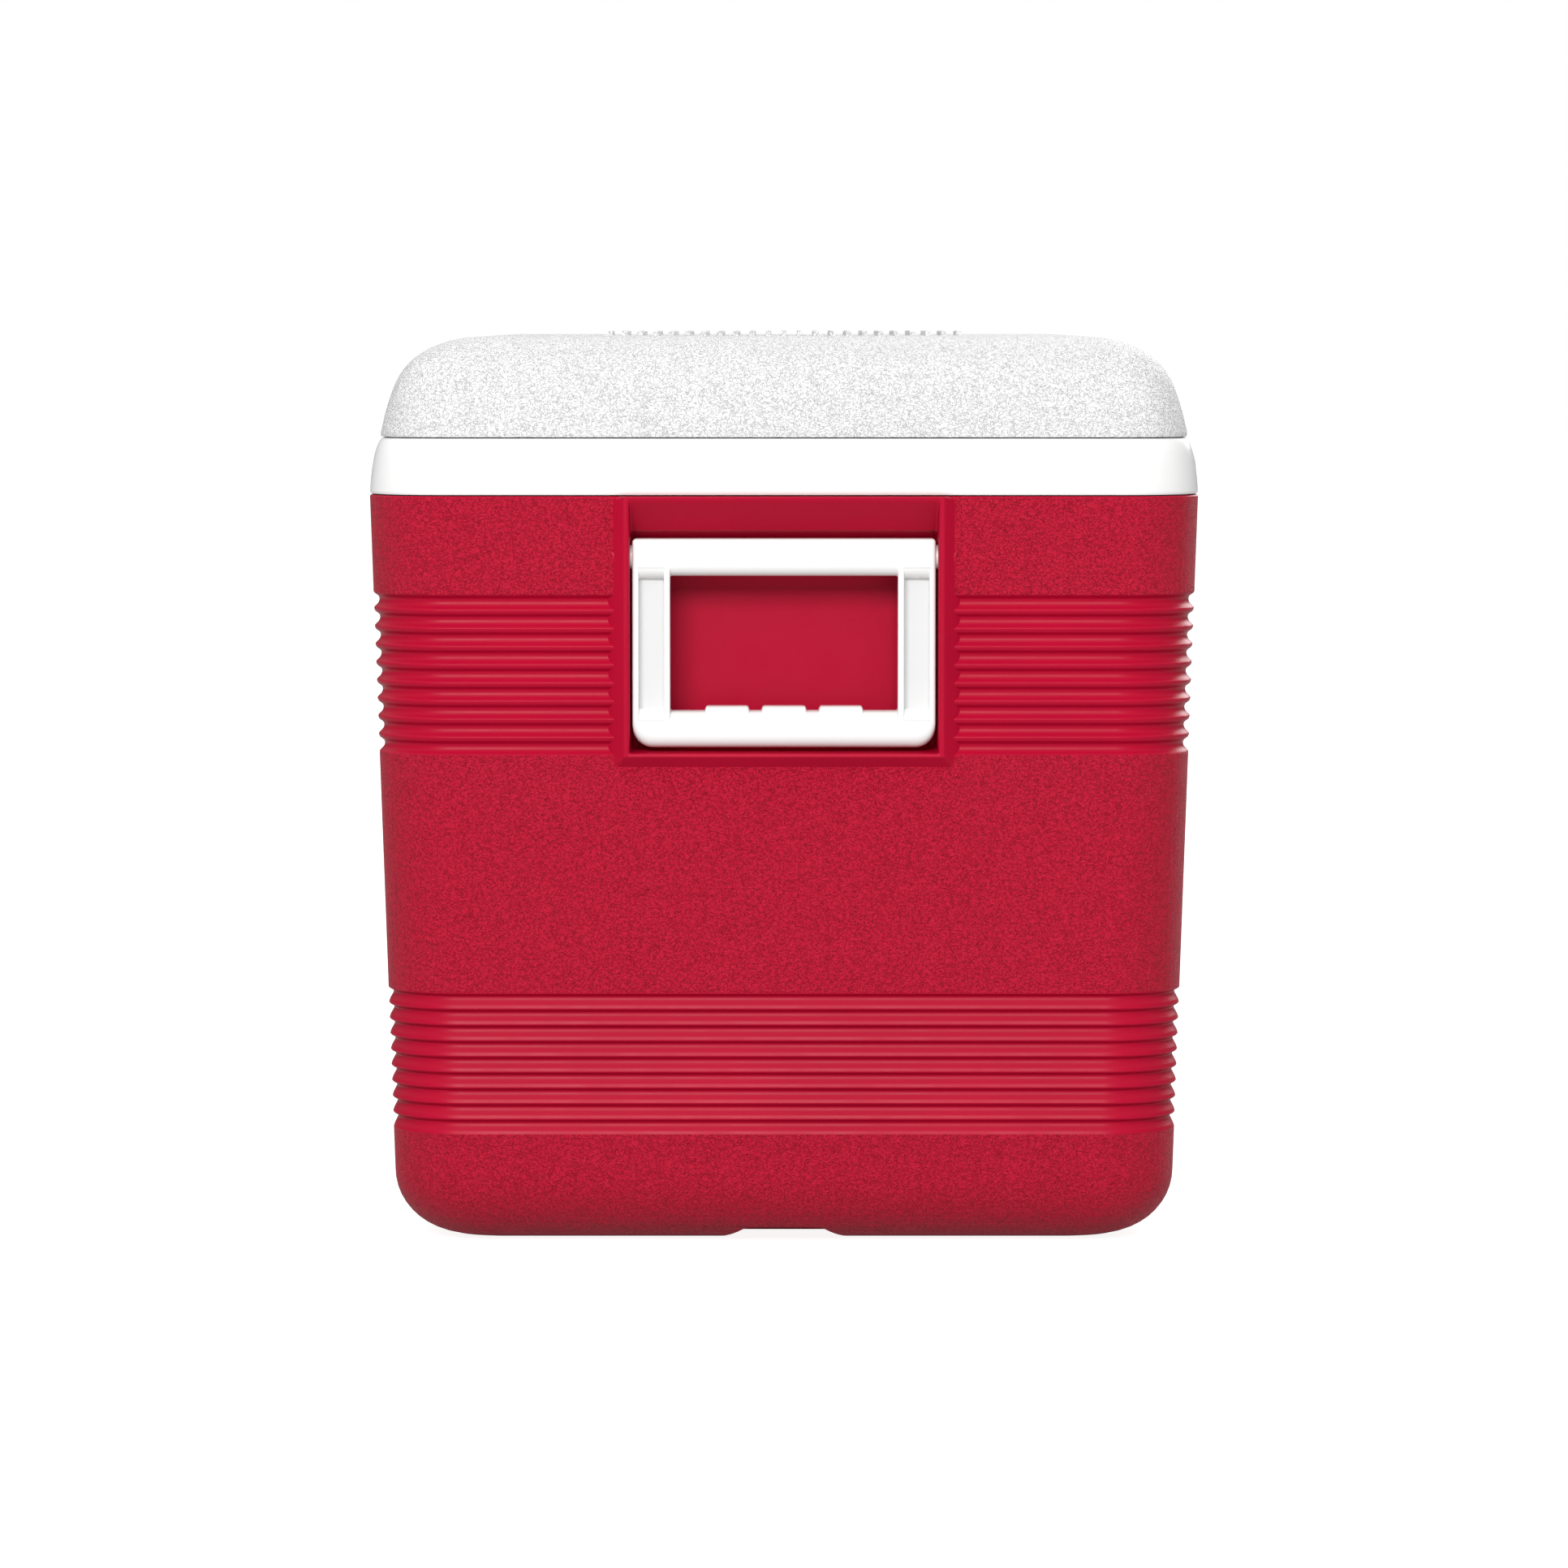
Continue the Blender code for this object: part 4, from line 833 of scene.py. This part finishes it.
def bar_round(step, steps):
    """(x, drop) of a bar's rounded front edge beside the opening, from the bar's middle outwards."""
    angle = step / steps * pi / 2
    return HANDLE_FRONT - BAR_ROUND * (1 - sin(angle)), BAR_DROP * (1 - cos(angle))


def build_finger_opening(bm):
    """The opening: both bars are well rounded in front of it, its other edges slightly."""
    past = HANDLE_FRONT + 0.001
    edge = 0.0009
    corner = 0.001
    sections = [across_section(-past, FINGER_HALF + edge, FINGER_BOTTOM - edge, FINGER_TOP + edge,
                               corner)]
    for step in range(4):
        angle = step / 3 * pi / 2
        grow = edge * (1 - sin(angle))
        sections.append(across_section(-HANDLE_FRONT + edge * (1 - cos(angle)), FINGER_HALF + grow,
                                       FINGER_BOTTOM - grow, FINGER_TOP + grow, corner))
    for step in range(13):
        x, drop = bar_round(step, 12)
        near = max(x - (HANDLE_FRONT - FLANGE_EDGE), 0.0)
        grow = FLANGE_EDGE - sqrt(max(FLANGE_EDGE ** 2 - near ** 2, 0.0))
        sections.append(across_section(x, FINGER_HALF + grow, FINGER_BOTTOM - drop,
                                       FINGER_TOP + drop, corner))
    sections.append(across_section(past, FINGER_HALF + FLANGE_EDGE, FINGER_BOTTOM - BAR_DROP,
                                   FINGER_TOP + BAR_DROP, corner))
    loft(bm, sections)


def build_arm_channels(bm):
    """Channels in front of and behind each arm's web, the front ones scooped at both ends."""
    past = HANDLE_FRONT + 0.001
    middle = (WEB_INNER + WEB_OUTER) / 2
    half = (WEB_OUTER - WEB_INNER) / 2
    for side in (-1, 1):
        front = []
        for step in range(13):
            x, drop = bar_round(step, 12)
            near = max(x - (HANDLE_FRONT - FLANGE_EDGE), 0.0)
            grow = FLANGE_EDGE - sqrt(max(FLANGE_EDGE ** 2 - near ** 2, 0.0))
            front.append(across_section(x, half + grow, WEB_BOTTOM - drop, WEB_TOP + drop, 0.0006, 3))
        front.append(across_section(past, half + FLANGE_EDGE, WEB_BOTTOM - BAR_DROP, WEB_TOP + BAR_DROP,
                                    0.0006, 3))
        back = [across_section(x, half, WEB_BOTTOM, WEB_TOP, 0.0004, 2) for x in (-past, WEB_BACK)]
        for sections in (front, back):
            moved = [[point + Vector((0, side * middle, 0)) for point in points] for points in sections]
            loft(bm, moved)


def build_bar_cores(bm):
    past = HANDLE_FRONT + 0.001
    for low, high in ((FINGER_TOP, HANDLE_TOP), (HANDLE_BOTTOM, FINGER_BOTTOM)):
        sections = [across_section(x, CORE_HALF, low + CORE_MARGIN, high - CORE_MARGIN, 0.0006, 2)
                    for x in (-past, CORE_DEPTH - HANDLE_FRONT)]
        loft(bm, sections)


def grip_pad_outline(height):
    """(x, z) points of a pad that follows the grip's top and its rounded front."""
    points = [(-HANDLE_FRONT + 0.0012, 0.0), (-HANDLE_FRONT + 0.0018, height * 0.8),
              (-HANDLE_FRONT + 0.0026, height)]
    for step in range(9):
        x, drop = bar_round(step, 12)
        points.append((x, height * (1 - (step / 8) ** 2) - drop))
    points += [(points[-1][0] - 0.002, -0.0045), (-HANDLE_FRONT + 0.0022, -0.0030)]
    return [(x, FINGER_BOTTOM + z) for x, z in points]


def build_grip_pads(bm):
    slope = 0.0008
    for low, high in GRIP_PADS:
        ends = ((low, 0.1), (low + slope, 0.85), (low + 2 * slope, 1.0),
                (high - 2 * slope, 1.0), (high - slope, 0.85), (high, 0.1))
        sections = []
        for y, share in ends:
            outline = grip_pad_outline(GRIP_PAD_HEIGHT * share)
            sections.append([Vector((x, y, z)) for x, z in outline])
        loft(bm, sections)


def build_axles(bm):
    for side in (-1, 1):
        ends = ((side * (HANDLE_HALF - 0.003), AXLE_RADIUS), (side * (AXLE_END - 0.0004), AXLE_RADIUS),
                (side * AXLE_END, AXLE_RADIUS - 0.0004))
        add_turned(bm, ends, (0, 0, 0), "Y", 32)


def make_handle(side, turned, finishes):
    name = "grip_" + side
    handle = make(name, build_handle_block, finishes, [
        ("DIFFERENCE", build_finger_opening, OUTSIDE),
        # the channel cuts take the darker white: painted shade in the recessed webs
        ("DIFFERENCE", build_arm_channels, CHANNEL_PAINTED_SHADE),
        ("DIFFERENCE", build_bar_cores, OUTSIDE),
        ("UNION", build_grip_pads, OUTSIDE),
        ("UNION", build_axles, OUTSIDE),
    ])
    for face in handle.data.polygons:   # only the webs keep the darker white that paints the channels' shade
        if abs(face.normal.x) < 0.98:
            face.material_index = OUTSIDE
    place = Matrix.Translation((HANDLE_AXIS_X, 0, HANDLE_AXIS_Z))
    if turned:
        place = Matrix.Rotation(pi, 4, "Z") @ place
    handle.data.transform(place)
    soften(handle, HANDLE_SHARP)
    stands_for(handle, f"{side}_handle", "handle", f"handle_{side}")


# ---- the whole chest ------------------------------------------------------------------
def make_chest(finishes):
    boss_start = DRAIN_FACE - 0.0048
    tub = make("tub", build_tub, [finishes["red_grain"], finishes["red_smooth"]], [
        ("UNION", both_ends(build_frame), PLAIN),
        ("UNION", both_ends(build_recess_block), PLAIN),
        ("UNION", both_ends(across_ends(BOSS_START, BOSS_END, BOSS_RADIUS)), PLAIN),
        ("UNION", both_ends(build_notch_pad), PLAIN),
        ("UNION", drain_cylinder(DRAIN_BOSS_RADIUS, boss_start, DRAIN_FACE), PLAIN),
        ("DIFFERENCE", both_ends(build_recess_cut), PLAIN),
        ("DIFFERENCE", both_ends(across_ends(OPENING_HALF - 0.004, AXLE_END + 0.0006,
                                             AXLE_RADIUS + GAP)), PLAIN),
        ("DIFFERENCE", both_ends(build_notch), GRAINED),
        ("DIFFERENCE", drain_cylinder(SPOUT_RADIUS + GAP, boss_start - 0.01, LENGTH / 2), PLAIN),
    ])
    soften(tub)
    stands_for(tub, "chest", "outer_tub", "body_shell")

    liner = make("liner", build_liner, [finishes["white"]], [
        ("DIFFERENCE", both_ends(build_tongue_gaps), 0),
        ("UNION", blocks(BODY_BLOCK), 0),
        ("UNION", drain_cylinder(DRAIN_PAD_RADIUS, DRAIN_PAD_FACE, DRAIN_PAD_END), 0),
        ("DIFFERENCE", screw_holes(BODY_SCREW_SEAT, BODY_SCREW_Z), 0),
        ("DIFFERENCE", drain_cylinder(SPOUT_RADIUS + GAP, DRAIN_PAD_FACE - 0.01, CAVITY_X + 0.01), 0),
    ])
    soften(liner)
    stands_for(liner, "chest", "liner", "inner_liner")

    lid = make("lid_cover", build_lid, [finishes["lid_grain"], finishes["white"]], [
        ("UNION", build_tab, PLAIN),
        ("UNION", build_rib_pad, GRAINED),
        ("UNION", blocks(LID_BLOCK), PLAIN),
        ("DIFFERENCE", screw_holes(LID_SCREW_SEAT, LID_SCREW_Z), PLAIN),
    ])
    soften(lid)
    stands_for(lid, "lid", "lid_cover", "lid_shell")

    pan = make("lid_pan", build_lid_pan, [finishes["white"]])
    soften(pan)
    stands_for(pan, "lid", "lid_pan", "lid_liner")

    handle_finishes = [finishes["white"], finishes["white_painted_shade"]]
    make_handle("left", True, handle_finishes)
    make_handle("right", False, handle_finishes)


def dress_nodes(nodes, finishes):
    """Better materials and softened edges on the CAD nodes that stay."""
    by_word = (("foam", "foam"), ("pin", "steel"), ("screw", "steel"), ("gasket", "rubber"),
               ("seal", "rubber"), ("leaf", "white"), ("drain", "white"))
    for name, node in nodes.items():
        if node.hide_render:
            continue
        finish = next((finishes[key] for word, key in by_word if word in name), None)
        if finish is None:
            continue
        for slot in node.material_slots:
            slot.material = finish
        if "leaf" in name or name in ("drain_spout", "drain_plug", "drain_nut"):
            weld = node.modifiers.new("weld", "WELD")
            weld.merge_threshold = 0.00001
            bevel(node, 0.0004, 2)


def make_stage():
    """A wide grey floor that the camera sees as plain white."""
    floor_size = 40.0
    bm = bmesh.new()
    bmesh.ops.create_grid(bm, x_segments=1, y_segments=1, size=floor_size / 2)
    mesh = bpy.data.meshes.new("floor")
    bm.to_mesh(mesh)
    bm.free()
    floor = bpy.data.objects.new("floor", mesh)
    floor.location = (0, 0, -0.0002)
    bpy.context.scene.collection.objects.link(floor)
    finish = Finish("light_table", 0.9, specular=0.0)
    patches = finish.noise(3.0)
    finish.link(finish.mix(patches, (0.34, 0.34, 0.34, 1), (0.36, 0.36, 0.36, 1)), "Base Color")
    finish.shader.inputs["Emission Color"].default_value = (1, 1, 1, 1)
    seen = finish.node("ShaderNodeLightPath").outputs["Is Camera Ray"]
    glow = finish.math("ADD", finish.math("MULTIPLY", seen, 0.7), 0.2)
    finish.link(glow, "Emission Strength")
    mesh.materials.append(finish.material)


def area_light(name, place, size, power):
    data = bpy.data.lights.new(name, "AREA")
    data.shape = "RECTANGLE"
    data.size, data.size_y = size
    data.energy = power
    light = bpy.data.objects.new(name, data)
    light.location = place
    light.rotation_euler = (Vector(LIGHT_TARGET) - Vector(place)).to_track_quat("-Z", "Y").to_euler()
    bpy.context.scene.collection.objects.link(light)


def make_world():
    """Soft studio surround: bright overhead, dim at the horizon, plain white behind the object."""
    world = bpy.data.worlds.new("studio")
    world.use_nodes = True
    tree = world.node_tree
    surround = tree.nodes["Background"]
    direction = tree.nodes.new("ShaderNodeTexCoord").outputs["Generated"]
    height = tree.nodes.new("ShaderNodeSeparateXYZ")
    tree.links.new(direction, height.inputs[0])
    strength = tree.nodes.new("ShaderNodeMapRange")
    strength.interpolation_type = "SMOOTHSTEP"
    tree.links.new(height.outputs["Z"], strength.inputs["Value"])
    for socket, value in (("From Min", -0.05), ("From Max", 0.9),
                          ("To Min", SKY_HORIZON), ("To Max", SKY_TOP)):
        strength.inputs[socket].default_value = value
    tree.links.new(strength.outputs[0], surround.inputs["Strength"])
    surround.inputs["Color"].default_value = (1, 1, 1, 1)
    backdrop = tree.nodes.new("ShaderNodeBackground")
    backdrop.inputs["Color"].default_value = (1, 1, 1, 1)
    choose = tree.nodes.new("ShaderNodeMixShader")
    tree.links.new(tree.nodes.new("ShaderNodeLightPath").outputs["Is Camera Ray"], choose.inputs[0])
    tree.links.new(surround.outputs[0], choose.inputs[1])
    tree.links.new(backdrop.outputs[0], choose.inputs[2])
    tree.links.new(choose.outputs[0], tree.nodes["World Output"].inputs["Surface"])
    bpy.context.scene.world = world


def make_lights():
    area_light("front_light", place=(-3.5, 0.5, 1.85), size=(2.0, 1.2), power=106)
    area_light("back_light", place=(3.2, -1.6, 1.9), size=(2.4, 2.0), power=70)
    make_world()


def make_camera():
    data = bpy.data.cameras.new("camera")
    data.lens = LENS
    data.sensor_width = SENSOR
    camera = bpy.data.objects.new("camera", data)
    camera.location = CAMERA_PLACE
    camera.rotation_euler = (pi / 2 - CAMERA_PITCH, 0, -pi / 2)
    bpy.context.scene.collection.objects.link(camera)
    bpy.context.scene.camera = camera


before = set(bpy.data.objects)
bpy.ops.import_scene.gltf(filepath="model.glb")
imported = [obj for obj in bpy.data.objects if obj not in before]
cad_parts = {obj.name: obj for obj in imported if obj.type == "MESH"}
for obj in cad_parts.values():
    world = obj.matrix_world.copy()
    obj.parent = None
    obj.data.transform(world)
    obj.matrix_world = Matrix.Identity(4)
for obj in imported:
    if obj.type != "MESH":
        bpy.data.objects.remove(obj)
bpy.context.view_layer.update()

FINISHES = {
    "red_grain": grained("red_grain", (0.60, 0.002, 0.035), (0.43, 0.001, 0.020), 0.45, 0.25,
                         cell=0.0020, depth=0.0010),
    "red_smooth": moulded("red_smooth", (0.45, 0.002, 0.028), 0.38, specular=0.13),
    "lid_grain": grained("lid_grain", (0.95, 0.95, 0.95), (0.83, 0.83, 0.83), 0.5, 0.2,
                         cell=0.0018, depth=0.0008),
    "white": moulded("white_smooth", (0.88, 0.88, 0.875), 0.3, 0.005, specular=0.3),
    # darker white for the handles' recessed channel webs: painted shade, the same plastic as the white
    "white_painted_shade": moulded("white_channel_painted_shade", (0.72, 0.72, 0.72), 0.4, 0.005, specular=0.3),
    "steel": moulded("steel", srgb(190, 190, 192), 0.35, 0.05, metallic=1.0),
    "rubber": moulded("rubber", srgb(30, 30, 31), 0.7),
    "foam": moulded("foam", srgb(226, 210, 160), 0.9, 0.05),
}

make_camera()
make_chest(FINISHES)
dress_nodes(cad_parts, FINISHES)
make_stage()
make_lights()
bpy.context.scene.view_settings.view_transform = "Standard"
